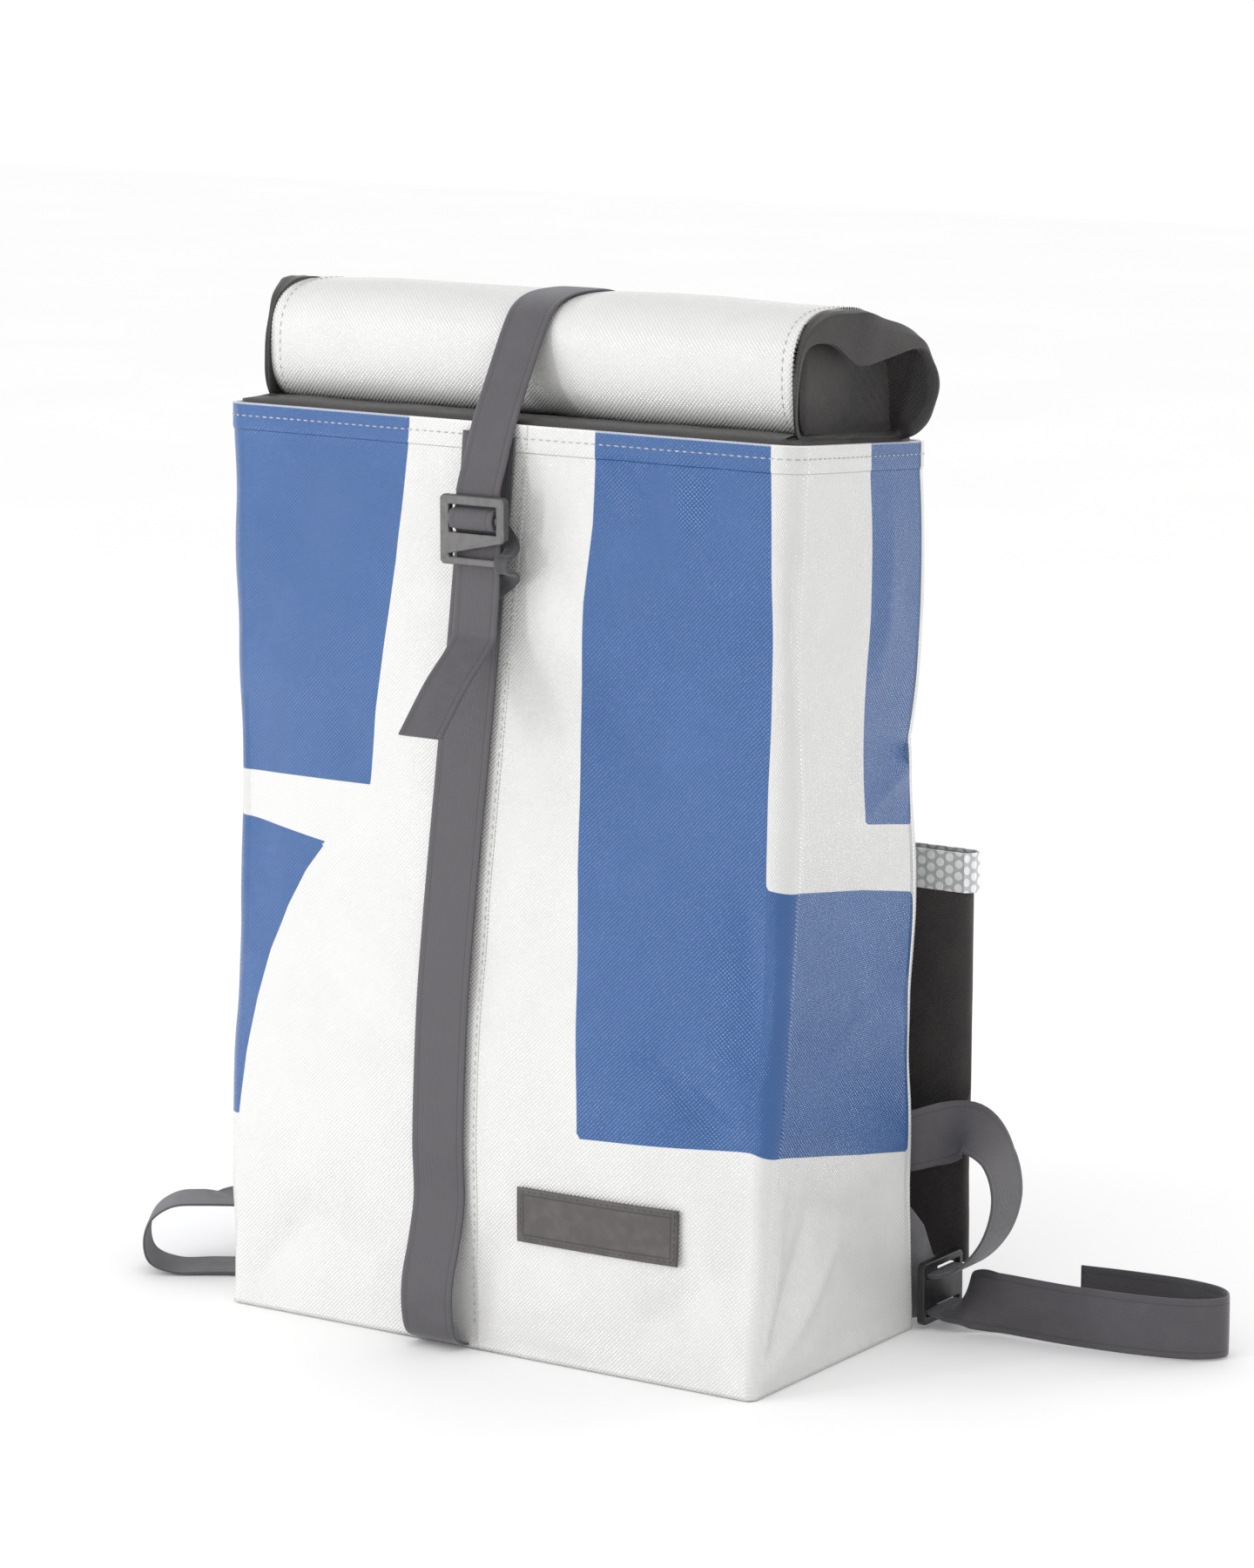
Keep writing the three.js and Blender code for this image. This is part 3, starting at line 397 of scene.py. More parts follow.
# %% Colour blocks
BLUE_BLOCKS = [
    [(-320, 460), (-50, 460), (-50.2, 444.6), (-56.8, 380), (-64, 340), (-69.7, 305), (-73.2, 268.4),
     (-157, 267), (-320, 266)],
    [(-320, 246), (-150, 244), (-101, 237), (-113, 222), (-124, 203), (-134, 180), (-141, 155),
     (-146, 128), (-150, 96), (-320, 90)],
    [(56.6, 460), (56.1, 447), (54.7, 405), (50.6, 368), (48.2, 300), (48, 240), (50.5, 199),
     (54.2, 112.6), (101.9, 114.7), (145.5, 117), (168, 113), (243, 98), (292, 90), (292, 219),
     (233, 230), (167, 240), (151.5, 242), (151.5, 460)],
    [(230, 460), (230, 440), (231.5, 262), (292, 252), (292, 460)],
]


def block_distance(s, z):
    best = np.full_like(s, -1.0)
    for block in BLUE_BLOCKS:
        inside = np.zeros(s.shape, bool)
        nearest = np.full_like(s, 1.0)
        for (s0, z0), (s1, z1) in zip(block, block[1:] + block[:1]):
            s0, z0, s1, z1 = s0 * MM, z0 * MM, s1 * MM, z1 * MM
            ds, dz = s1 - s0, z1 - z0
            t = np.clip(((s - s0) * ds + (z - z0) * dz) / (ds * ds + dz * dz), 0, 1)
            nearest = np.minimum(nearest, np.hypot(s - s0 - t * ds, z - z0 - t * dz))
            crosses = (z0 > z) != (z1 > z)
            with np.errstate(divide="ignore", invalid="ignore"):
                inside ^= crosses & (s < s0 + (z - z0) * ds / (dz if dz else 1e-12))
        best = np.maximum(best, np.where(inside, nearest, -nearest))
    return best


print(len(BLUE_BLOCKS), "blue blocks")

# %% Body shell
WALL_ROWS = 196
BASE_ROWS = 9
HEM_ROWS = 5
INNER_ROWS = 12
INNER_FLOOR = 5.4 * MM
# Below the hem the inner skin stands back, so that a deep fold outside never comes through it.
INNER_STEP = 4 * MM
COLUMNS = 330
# The unrolled wall: where a side's middle and the rear start, in metres round from the front's middle.
SIDE_MIDDLE = BASE_HALF + 66 * MM
REAR_START = 293 * MM
# Columns are shared out by these lengths, so that the corners get enough of them.
SIDES = [
    ("rear_right", 0.137), ("arc", 0.030), ("right", 0.094), ("arc", 0.030), ("front", 0.276),
    ("arc", 0.030), ("left", 0.094), ("arc", 0.030), ("rear_left", 0.137),
]


def ring_point(u, outline):
    """Point, outward direction and unrolled length of column u, counted from the rear's middle."""
    half, front, rear, radius = (outline[k] for k in ("half", "front", "rear", "radius"))
    reach = np.cumsum([0] + [side[1] for side in SIDES])
    at = np.clip(u, 0, 1) * reach[-1]
    index = np.clip(np.searchsorted(reach, at, side="right") - 1, 0, len(SIDES) - 1)
    share = (at - reach[index]) / np.array([side[1] for side in SIDES])[index]
    x, y = np.zeros_like(u), np.zeros_like(u)
    ox, oy = np.zeros_like(u), np.zeros_like(u)
    zero = np.zeros_like(u)
    lines = {
        0: (zero, rear, half - radius, rear, 0, 1),
        2: (half, rear - radius, half, front + radius, 1, 0),
        4: (half - radius, front, radius - half, front, 0, -1),
        6: (-half, front + radius, -half, rear - radius, -1, 0),
        8: (radius - half, rear, zero, rear, 0, 1),
    }
    for key, (x0, y0, x1, y1, nx, ny) in lines.items():
        m = index == key
        x[m], y[m] = lerp(x0, x1, share)[m], lerp(y0, y1, share)[m]
        ox[m], oy[m] = nx, ny
    arcs = {1: (half - radius, rear - radius, 90), 3: (half - radius, front + radius, 0),
            5: (radius - half, front + radius, -90), 7: (radius - half, rear - radius, 180)}
    for key, (cx, cy, start) in arcs.items():
        m = index == key
        angle = np.radians(start - 90 * share)
        x[m], y[m] = (cx + radius * np.cos(angle))[m], (cy + radius * np.sin(angle))[m]
        ox[m], oy[m] = np.cos(angle)[m], np.sin(angle)[m]
    crown = np.where(y < 0, outline["crown"], 0) * (1 - np.clip(np.abs(x) / half, 0, 1) ** 2)
    side_s = SIDE_MIDDLE + y
    corner = np.clip((np.abs(x) - (half - radius)) / radius, 0, 1)
    s = np.where(index == 4, x, 0)
    s = np.where((index == 2) | (index == 6), np.sign(x) * side_s, s)
    front_arc = (index == 3) | (index == 5)
    s = np.where(front_arc, np.sign(x) * lerp(half - radius, SIDE_MIDDLE + front + radius, corner), s)
    behind = (index == 1) | (index == 7) | (index == 0) | (index == 8)
    s = np.where(behind, np.where(x >= 0, 1, -1) * (REAR_START + half - np.abs(x)), s)
    return x, y - crown, ox, oy, s


def body_rows():
    """Level, inset and base share of every row, from the base's middle over the hem to the inner floor."""
    rows = [(0.0, 0.0, share) for share in np.linspace(0.0, 0.985, BASE_ROWS)]
    rows += [(z, 0.0, 1.0) for z in np.linspace(0.0, HEM, WALL_ROWS)]
    for turn in np.linspace(0.4, math.pi, HEM_ROWS):
        rows.append((HEM + 0.4 * MM * math.sin(turn), TARP * (1 - math.cos(turn)) / 2, 1.0))
    for z in np.linspace(HEM - 3 * MM, INNER_FLOOR, INNER_ROWS):
        rows.append((z, TARP + INNER_STEP * float(ease(np.array(HEM - z), 0.03, 0.08)), 1.0))
    rows += [(INNER_FLOOR, TARP, share) for share in (0.7, 0.0)]
    return np.array(rows)


ROWS = body_rows()


def body_lookup(u, v):
    row = np.rint(v * (len(ROWS) - 1)).astype(int)
    z, inset, share = ROWS[row, 0], ROWS[row, 1], ROWS[row, 2]
    outline = outline_at(np.minimum(z, HEM))
    x, y, ox, oy, s = ring_point(u, outline)
    return row, z, inset, share, x, y, ox, oy, s


PATCH_X, PATCH_Z = 67 * MM, 72 * MM
PATCH_HALF_WIDTH, PATCH_HALF_HEIGHT = 44.5 * MM, 13.5 * MM


def held_down(x, z):
    """Share by which the front webbing and the patch keep the sheet from standing out."""
    strap = np.array([webbing_x(h) for h in z])
    under_strap = np.exp(-((x - strap) / 0.025) ** 6)
    under_patch = np.exp(-((x - PATCH_X) / (PATCH_HALF_WIDTH + 7.5 * MM)) ** 8
                         - ((z - PATCH_Z) / (PATCH_HALF_HEIGHT + 7.5 * MM)) ** 8)
    return np.maximum(under_strap, under_patch)


def body_place(u, v):
    row, z, inset, share, x, y, ox, oy, s = body_lookup(u, v)
    wall = ease(z, 0.0, 0.012) * (share >= 1)
    hem_band = 0.7 * MM * ease(z, HEM - 13.5 * MM, HEM - 12 * MM)
    level = z * hem_top(y) / HEM
    points = np.stack([x, y, z], 1)
    soft = ripples(points, 0.085, 1) * 2.6 * MM + ripples(points, 0.032, 2) * 0.8 * MM
    calm = 1 - 0.5 * ease(z, HEM - 0.02, HEM)
    free = -fold_depth(s, z) + soft
    held = held_down(x, z) * (oy < -0.9)
    free = lerp(free, np.minimum(free, -0.2 * MM), held)
    push = (free - dent_depth(x, y, z)) * wall * calm + hem_band
    push = np.minimum(push, 5 * MM)
    flat = np.stack([x * share, y * share, level], 1)
    flat[:, 0] += ox * (push * (share >= 1) - inset)
    flat[:, 1] += oy * (push * (share >= 1) - inset)
    webbing_dip = np.exp(-((x - webbing_x(0)) / 0.022) ** 2) * ease(-y, 0.018, 0.03)
    under = (share < 1) * (z <= 0)
    flat[:, 2] += np.where(under == 1, webbing_dip * 2.7 * MM, 0)
    return flat


def body_extra(u, v):
    row, z, inset, share, x, y, ox, oy, s = body_lookup(u, v)
    outside = (row < BASE_ROWS + WALL_ROWS + 2)
    level = z * hem_top(y) / HEM
    blue = np.where(outside & (row >= BASE_ROWS), block_distance(s, level), -0.1)
    line = np.array([webbing_x(h) for h in z]) + 0.0205
    placket = np.where((oy < -0.9) & outside, s - line, 0.05)
    return {"blue": blue, "placket": placket, "below_hem": np.where(outside, hem_top(y) - level, 0.2)}


def body_measure(u, v):
    row, z, inset, share, x, y, ox, oy, s = body_lookup(u, v)
    return np.stack([s, z + 0.2 * (1 - share)], 1)


body_place.extra = body_extra
print("body grid", COLUMNS, "by", len(ROWS))

# %% [markdown]
# ## Tarpaulin finish
# Truck tarpaulin is a woven scrim under a glossy coat. It shows a fine grid of threads where light
# glances off it, a slow waviness, and faint scuffs. Colour comes from the distance attribute, and
# the bump adds the grid, the hem's edge and the overlap beside the front webbing. The colour also
# holds a painted highlight along the hem's top edge and a faint painted shade beside the overlap.

# %% Tarpaulin
BLUE = (0.010, 0.080, 0.260, 1)
BLUE_WORN = (0.016, 0.090, 0.280, 1)
WHITE = (0.665, 0.662, 0.654, 1)
WHITE_WORN = (0.640, 0.637, 0.627, 1)


def scrim(tree, along, up, pitch):
    a = maths(tree, "SINE", maths(tree, "MULTIPLY", along, 2 * math.pi / pitch))
    b = maths(tree, "SINE", maths(tree, "MULTIPLY", up, 2 * math.pi / pitch))
    return maths(tree, "MULTIPLY", a, b)


def make_tarp(name, printed):
    coat = {"Coat_Weight": 0.3, "Coat_Roughness": 0.05, "Specular_IOR_Level": 0.5}
    finish, tree, shader = new_finish(name, roughness=0.2, **coat)
    point = own_point(tree)
    map_node = add_node(tree, "ShaderNodeUVMap", {"uv_map": "UVMap"}).outputs[0]
    u, v, _ = split(tree, map_node)
    wear = ramp(tree, fuzz(tree, point, 26.0, 6.0, 0.65), 0.42, 0.72)
    colour = mix_colour(tree, wear, WHITE, WHITE_WORN)
    height = maths(tree, "MULTIPLY", scrim(tree, u, v, 0.0021), 0.5)
    if printed:
        blue = mix_colour(tree, wear, BLUE, BLUE_WORN)
        share = ramp(tree, attribute(tree, "blue"), -0.00025, 0.00025)
        colour = mix_colour(tree, share, colour, blue)
        below = attribute(tree, "below_hem")
        # Painted highlight: a thin line at the hem's top edge is mixed halfway towards a colour lighter than
        # the white sheet.
        hem_edge_highlight = maths(tree, "MULTIPLY", ramp(tree, below, 0.0, 0.0008, 1.0, 0.0), 0.5)
        colour = mix_colour(tree, hem_edge_highlight, colour, (0.86, 0.86, 0.84, 1))
        hem_step = ramp(tree, below, 0.0124, 0.0132, 1.0, 0.0)
        placket_step = ramp(tree, attribute(tree, "placket"), -0.0004, 0.0003, 1.0, 0.0)
        beside = ramp(tree, attribute(tree, "placket"), -0.0026, -0.0004)
        placket_shade = maths(tree, "MULTIPLY", maths(tree, "MULTIPLY", placket_step, beside), 0.10)
        colour = mix_colour(tree, placket_shade, colour, (0.35, 0.35, 0.36, 1))
    rough = ramp(tree, fuzz(tree, point, 55.0, 4.0), 0.3, 0.75, 0.12, 0.24)
    normal = bump(tree, height, 0.0004, 0.8)
    normal = bump(tree, fuzz(tree, point, 22.0, 3.0), 0.0030, 0.45, normal)
    if printed:
        normal = bump(tree, maths(tree, "ADD", hem_step, placket_step), 0.0009, 0.8, normal)
    wire(tree, shader, Base_Color=colour, Roughness=rough, Normal=normal, Coat_Normal=normal)
    return finish


tarp_printed = make_tarp("tarpaulin_printed", True)
tarp_white = make_tarp("tarpaulin_white", False)
body_mesh = sheet_mesh("bag_body", COLUMNS, len(ROWS) - 1, body_place, body_measure, close_ends=False)
show("bag_body", body_mesh, tarp_printed, "body_shell")

# %% [markdown]
# ## Woven webbing
# The straps are dense nylon webbing: fine ribs run along the strap between two firmer edges, and the
# yarn has a dull sheen. The band's UV map is in metres, so the weave keeps its size on every strap.

# %% Webbing finish
def darker(colour, share):
    return tuple(c * share for c in colour[:3]) + (1,)


def make_webbing(name, colour, worn, half_width, rib=0.0011):
    finish, tree, shader = new_finish(name, roughness=0.62, Sheen_Weight=0.35, Sheen_Roughness=0.4)
    shader.inputs["Sheen Tint"].default_value = (0.8, 0.8, 0.85, 1)
    u, v, _ = split(tree, add_node(tree, "ShaderNodeUVMap", {"uv_map": "UVMap"}).outputs[0])
    slant = maths(tree, "ADD", v, maths(tree, "MULTIPLY", u, 0.6))
    ribs = maths(tree, "SINE", maths(tree, "MULTIPLY", u, 2 * math.pi / rib))
    picks = maths(tree, "SINE", maths(tree, "MULTIPLY", slant, 2 * math.pi / (rib * 1.25)))
    weave = maths(tree, "MULTIPLY", ribs, maths(tree, "ADD", maths(tree, "MULTIPLY", picks, 0.5), 0.6))
    off_middle = maths(tree, "ABSOLUTE", u)
    edge = ramp(tree, off_middle, half_width - 0.0030, half_width - 0.0016)
    off_line = maths(tree, "ABSOLUTE", maths(tree, "SUBTRACT", off_middle, half_width - 0.0034))
    line = ramp(tree, off_line, 0.0002, 0.0007, 1.0, 0.0)
    dust = ramp(tree, fuzz(tree, own_point(tree), 90.0, 5.0), 0.45, 0.75)
    base = mix_colour(tree, dust, colour, worn)
    base = mix_colour(tree, maths(tree, "MULTIPLY", line, 0.45), base, darker(colour, 0.45))
    base = mix_colour(tree, ramp(tree, weave, -0.9, 0.9, 0.22, 0.0), base, darker(colour, 0.4))
    height = maths(tree, "ADD", maths(tree, "MULTIPLY", weave, 0.5), maths(tree, "MULTIPLY", edge, 0.8))
    rough = ramp(tree, dust, 0.0, 1.0, 0.55, 0.72)
    wire(tree, shader, Base_Color=base, Roughness=rough, Normal=bump(tree, height, 0.00035, 0.7))
    return finish


CHARCOAL = (0.076, 0.071, 0.080, 1)
CHARCOAL_WORN = (0.094, 0.089, 0.098, 1)
webbing_wide = make_webbing("webbing_30", CHARCOAL, CHARCOAL_WORN, 0.015)
webbing_narrow = make_webbing("webbing_25", CHARCOAL, CHARCOAL_WORN, 0.0125)
webbing_loop = make_webbing("webbing_8", (0.05, 0.048, 0.052, 1), CHARCOAL, 0.004, 0.0009)
print("webbing finishes ready")

# %% [markdown]
# ## Front webbing
# One strap is sewn down the front. It follows the wall, slants a little towards the hem, bulges
# forward near the bottom where it is loose, and goes under the base in a tight turn.

# %% Front webbing
WEB = 1.5 * MM


def on_front(x, z, lift):
    return (x, front_at(x, z) - GAP - lift, z)


FLAT_SHARES = (.99, .93, .86, .78, .7, .62, .54, .46, .38, .3, .22)
BULGE, UNDER_BASE = 12 * MM, 52 * MM
rows = [on_front(webbing_x(share * HEM), share * HEM, 2.2 * MM) for share in FLAT_SHARES]
for up, out in ((.16, .04), (.115, .45), (.075, .93), (.04, 1.0), (.014, .72)):
    rows.append(on_front(webbing_x(0), up * HEM, WEB / 2 + out * BULGE))
for share in (0.04, 0.16, 0.4, 1.0):
    rows.append((webbing_x(0), share * UNDER_BASE - BASE_FRONT, 1.15 * MM))
front_band = band_mesh("front_strap", level_rows(rows), 0.030, 1.6 * MM, steps=14, columns=32)
show("front_strap", front_band, webbing_wide, "front_webbing")

# %% [markdown]
# ## The roll
# The flap is tucked in at the rear hem, rises over the mouth and is wound into a soft roll. In section
# the roll is a rounded box. The strap presses a shallow groove into it, and the sheet bags a little
# between the groove and the ends.

# %% Roll section
ROLL_FRONT, ROLL_REAR, ROLL_TOP = 38 * MM, 41 * MM, 506 * MM
ROLL_MIDDLE = (ROLL_REAR - ROLL_FRONT) / 2
ROLL_DEEP = (ROLL_REAR + ROLL_FRONT) / 2
ROLL_BOTTOM = hem_top(ROLL_MIDDLE) + 2 * GAP


def roll_point(degrees, offset):
    c, s = math.cos(math.radians(degrees)), math.sin(math.radians(degrees))
    half = (ROLL_TOP - ROLL_BOTTOM) / 2
    y = (ROLL_DEEP + offset) * math.copysign(abs(c) ** (2 / 2.8), c)
    z = (half + offset) * math.copysign(abs(s) ** (2 / 2.8), s)
    return Vector((0, ROLL_MIDDLE + y, ROLL_BOTTOM + half + z))


def rise_to_roll(start, offset):
    meet = roll_point(12, offset)
    bend = Vector((0, lerp(start.y, meet.y, 0.28), lerp(start.z, meet.z, 0.42)))
    near = Vector((0, lerp(start.y, meet.y, 0.76), lerp(start.z, meet.z, 0.76)))
    return [start, bend, near, meet]


def over_roll(offset, first, last, step=15):
    return [roll_point(a, offset) for a in range(first, last + 1, step)]


# %% Roll panel
tuck_y = HEM_REAR - TARP - GAP - TARP / 2
rear_hem = float(hem_top(HEM_REAR))
wound = [roll_point(a, -TARP * (2.4 + i)) for i, a in enumerate((290, 315, 340, 365))]
roll_path = [Vector((0, tuck_y, rear_hem - 16 * MM)),
             *rise_to_roll(Vector((0, tuck_y, rear_hem)), -TARP / 2),
             *over_roll(-TARP / 2, 30, 255), *wound]
centre = np.array(smooth_path(roll_path, 8))
roll_along = np.gradient(centre, axis=0)
roll_along /= np.linalg.norm(roll_along, axis=1)[:, None]
roll_out = np.stack([np.zeros(len(centre)), roll_along[:, 2], -roll_along[:, 1]], 1)
roll_length = np.concatenate([[0], np.cumsum(np.linalg.norm(np.diff(centre, axis=0), axis=1))])
ROLL_COLUMNS = 96
ROLL_WIDTH = 300 * MM


def roll_place(u, v):
    around = np.rint(v * (2 * len(centre) - 1)).astype(int)
    outer = around < len(centre)
    row = np.where(outer, around, 2 * len(centre) - 1 - around)
    tucked = np.interp(row, [0, 8, 16, 24], [0.913, 0.913, 0.965, 1.0])
    x = (u - 0.5) * ROLL_WIDTH * tucked
    point = centre[row] + roll_out[row] * np.where(outer, TARP / 2, -TARP / 2)[:, None]
    on_roll = ease(row.astype(float), 14, 34)
    groove_and_shade = 1.1 * MM * np.exp(-(x / 0.017) ** 4) * on_roll
    bag = 1.2 * MM * np.sin(np.clip((np.abs(x) - 0.02) / 0.125, 0, 1) * math.pi) * on_roll
    soft = ripples(np.stack([x, centre[row][:, 1], centre[row][:, 2]], 1), 0.07, 5) * 2.0 * MM * on_roll
    point += roll_out[row] * (bag - groove_and_shade + soft - 0.9 * MM * on_roll)[:, None]
    point[:, 0] = x
    return point


def roll_measure(u, v):
    around = np.rint(v * (2 * len(centre) - 1)).astype(int)
    row = np.where(around < len(centre), around, 2 * len(centre) - 1 - around)
    return np.stack([(u - 0.5) * ROLL_WIDTH, roll_length[row]], 1)


roll_mesh = sheet_mesh("roll", ROLL_COLUMNS, 2 * len(centre) - 1, roll_place, roll_measure)
show("roll", roll_mesh, tarp_white, "roll_panel")

# %% [markdown]
# ## Dark textile
# The collar and the roll's gusset ends are a coated dark textile. It is duller than the tarpaulin, with
# a fine plain weave and small creases.

# %% Textile finish
def make_textile(name, colour, worn, pitch, roughness, coat):
    sockets = {"Coat_Weight": coat, "Coat_Roughness": 0.35, "Sheen_Weight": 0.15}
    finish, tree, shader = new_finish(name, roughness=roughness, **sockets)
    point = own_point(tree)
    x, y, z = split(tree, point)
    fine = scrim(tree, maths(tree, "ADD", x, y), z, pitch)
    coarse = scrim(tree, y, maths(tree, "SUBTRACT", z, x), pitch * 1.3)
    weave = maths(tree, "ADD", fine, maths(tree, "MULTIPLY", coarse, 0.5))
    cloud = ramp(tree, fuzz(tree, point, 40.0, 5.0, 0.6), 0.35, 0.7)
    base = mix_colour(tree, cloud, colour, worn)
    base = mix_colour(tree, ramp(tree, weave, -1.0, 1.0, 0.3, 0.0), base, darker(colour, 0.5))
    normal = bump(tree, weave, 0.0003, 0.5)
    normal = bump(tree, fuzz(tree, point, 70.0, 4.0), 0.0012, 0.5, normal)
    rough = ramp(tree, cloud, 0.0, 1.0, roughness, roughness + 0.12)
    wire(tree, shader, Base_Color=base, Roughness=rough, Normal=normal)
    return finish


BLACK_BROWN, BLACK_BROWN_WORN = (0.022, 0.020, 0.019, 1), (0.042, 0.038, 0.036, 1)
PAD_BROWN, PAD_BROWN_WORN = (0.030, 0.027, 0.026, 1), (0.048, 0.044, 0.042, 1)
textile = make_textile("coated_textile", BLACK_BROWN, BLACK_BROWN_WORN, 0.0016, 0.5, 0.08)
padding = make_textile("padding_cloth", PAD_BROWN, PAD_BROWN_WORN, 0.0018, 0.8, 0.0)
print("textile finishes ready")

# %% [markdown]
# ## Collar
# A strip of the dark textile is sewn inside the hem and leads up into the roll. Only its top shows, as a
# dark line between the white roll and the hem.

# %% Collar
# Stations of the collar's section: inset from the wall and height above the hem, in metres.
COLLAR_STATIONS = [
    (0.0042, -0.024), (0.0036, -0.010), (0.0030, -0.002), (0.0042, 0.0016), (0.012, 0.0024), (0.021, 0.0030),
    (0.021, 0.0014), (0.012, 0.0008), (0.0056, 0.0), (0.0046, -0.0036), (0.0052, -0.012), (0.0056, -0.024),
]


def collar_place(u, v):
    table = np.array(COLLAR_STATIONS)
    at = v * (len(table) - 1)
    row = np.clip(np.floor(at).astype(int), 0, len(table) - 2)
    share = at - row
    inset, above = (lerp(table[row, k], table[row + 1, k], share) for k in (0, 1))
    outline = outline_at(np.full_like(u, HEM))
    x, y, ox, oy, s = ring_point(u, outline)
    inward = inset + np.where(y > 0, 2.6 * MM, 0)
    wave = ripples(np.stack([x, y, above * 3], 1), 0.03, 8) * 0.9 * MM * ease(above, -0.002, 0.002)
    return np.stack([x - ox * inward, y - oy * inward, hem_top(y) + above + wave], 1)


def collar_measure(u, v):
    return np.stack([u * 0.9, v * 0.06], 1)


collar_mesh = sheet_mesh("collar_strip", 240, 11, collar_place, collar_measure, close_ends=False)
show("collar_strip", collar_mesh, textile, "collar")

# %% [markdown]
# ## Gusset ends
# Rolling the flap folds the bag's side gussets into two dark pockets. Each is a cup that opens
# sideways: its lip runs round the roll, and its top edge folds down into the mouth as a V. The lip is a
# table of points, smoothed into a closed curve, and the cup's wall runs from the roll to the lip and
# back inside.

# %% Gusset ends
END_LIP = [
    (-0.9, 0, 0.06, 0), (-1, 0.42, 0.08, 0), (-0.86, 0.8, 0.14, 0.06), (-0.5, 0.97, 0.3, 0.2),
    (-0.12, 0.99, 0.5, 0.4), (0.25, 0.95, 0.7, 0.32), (0.86, 0.8, 0.93, 0.1), (1.08, 0.56, 1, 0),
    (1.16, 0.34, 0.98, 0), (1.2, 0.12, 0.7, 0), (1.2, 0, 0.24, 0), (0.5, 0, 0.16, 0), (-0.3, 0, 0.1, 0),
]


def closed_curve(table, samples):
    """A closed smooth curve through the rows of a table, as an array of samples."""
    table = np.array(table, float)
    at = np.linspace(0, len(table), samples, endpoint=False)
    row = np.floor(at).astype(int)
    t = (at - row)[:, None]
    p = [table[(row + k) % len(table)] for k in (-1, 0, 1, 2)]
    smooth = 0.5 * (2 * p[1] + (p[2] - p[0]) * t + (2 * p[0] - 5 * p[1] + 4 * p[2] - p[3]) * t ** 2
                    + (3 * p[1] - p[0] - 3 * p[2] + p[3]) * t ** 3)
    return smooth


LIP_SAMPLES = 156
END_START, END_REACH = 150.4 * MM, 28 * MM
lip = closed_curve(END_LIP, LIP_SAMPLES)
# Stations from the roll to the lip and back inside: share of the reach, inset, setback and tuck.
END_STATIONS = [
    (0, 0, 0, 0), (0.3, 0, 0, 0), (0.6, -0.4, 0, 0), (0.85, -0.5, 0, 0.05), (0.97, -0.2, 0, 0.35),
    (1.0, 0.6, 0, 0.85), (1.0, 1.6, 0, 1.0), (0.97, 2.6, 0.6, 1.0), (0.93, 3.3, 1.8, 0.95),
    (0.85, 3.3, 2.0, 0.6), (0.7, 3.3, 1.5, 0.3), (0.5, 3.4, 0.6, 0.08), (0.25, 3.4, 0, 0),
    (0, 3.4, -1.6, 0),
]


def end_place(side):
    stations = np.array(END_STATIONS)
    steps = np.arange(4 * (len(stations) - 1) + 1) / 4
    fine = np.stack([np.interp(steps, range(len(stations)), stations[:, j]) for j in range(4)], 1)

    def place(u, v):
        row = np.rint(v * (len(fine) - 1)).astype(int)
        column = np.rint(u * LIP_SAMPLES).astype(int) % LIP_SAMPLES
        reach, inset, back, tucked = (fine[row, k] for k in range(4))
        deep, up, out, tuck = (lip[column, k] for k in range(4))
        y = ROLL_MIDDLE + deep * (ROLL_DEEP - inset * MM)
        low = hem_top(y) + 2 * GAP + inset * MM
        height = np.maximum(up, 0) - tucked * tuck
        z = lerp(low, ROLL_TOP - inset * MM, height)
        x = END_START + reach * np.maximum(out, 0.05) * END_REACH - back * MM
        points = np.stack([x, y, z], 1)
        crinkle = ripples(points, 0.016, 11 + side) * 1.5 * MM + ripples(points, 0.034, 13 + side) * 2.2 * MM
        free = ease(reach, 0.15, 0.6)
        middle = np.array([0, ROLL_MIDDLE, (ROLL_TOP + ROLL_BOTTOM) / 2])
        outward = points - middle
        outward[:, 0] = 0
        outward /= np.linalg.norm(outward, axis=1)[:, None]
        points += outward * (crinkle * free * 0.8)[:, None]
        points[:, 0] += crinkle * free * 0.7
        points[:, 2] = np.maximum(points[:, 2], hem_top(points[:, 1]) + GAP)
        points[:, 0] *= side
        return points
    return place, len(fine) - 1


def end_measure(u, v):
    return np.stack([u * 0.26, v * 0.09], 1)


for side, word in ((1, "right"), (-1, "left")):
    place, count = end_place(side)
    end_mesh = sheet_mesh(f"gusset_{word}", LIP_SAMPLES, count, place, end_measure)
    show(f"gusset_{word}", end_mesh, textile, f"roll_end_{word}")

# %% [markdown]
# ## Closing strap
# The strap starts at the rear, goes over the roll and down the front, threads through the buckle's two
# slots and ends in a free tail that is creased and thrown forward. It is one band, so the route passes
# each slot in turn, as the real strap does.

# %% Closing strap
BUCKLE_TOP, BUCKLE_HEIGHT, BUCKLE_THICK = 416 * MM, 33 * MM, 4 * MM
BUCKLE_LOW = BUCKLE_TOP - BUCKLE_HEIGHT
BUCKLE_Y = front_at(0, BUCKLE_TOP - BUCKLE_HEIGHT / 2) - 17 * MM
lift = GAP + WEB / 2
behind = BUCKLE_THICK / 2 + lift
slot_high = BUCKLE_TOP - 4.5 * MM - 2.5 * MM
slot_low = slot_high - 8.2 * MM
turn = 3.4 * MM


def at_buckle(back, z):
    return Vector((0, BUCKLE_Y + back, z))


THROW, THROW_ANGLE = 60 * MM, math.radians(47)
crease = at_buckle(-0.5 * WEB, BUCKLE_LOW - 34 * MM)


def thrown(share, sag):
    forward, down = THROW * math.sin(THROW_ANGLE), THROW * math.cos(THROW_ANGLE)
    return crease + Vector((0, -share * forward, sag * MM - share * down))


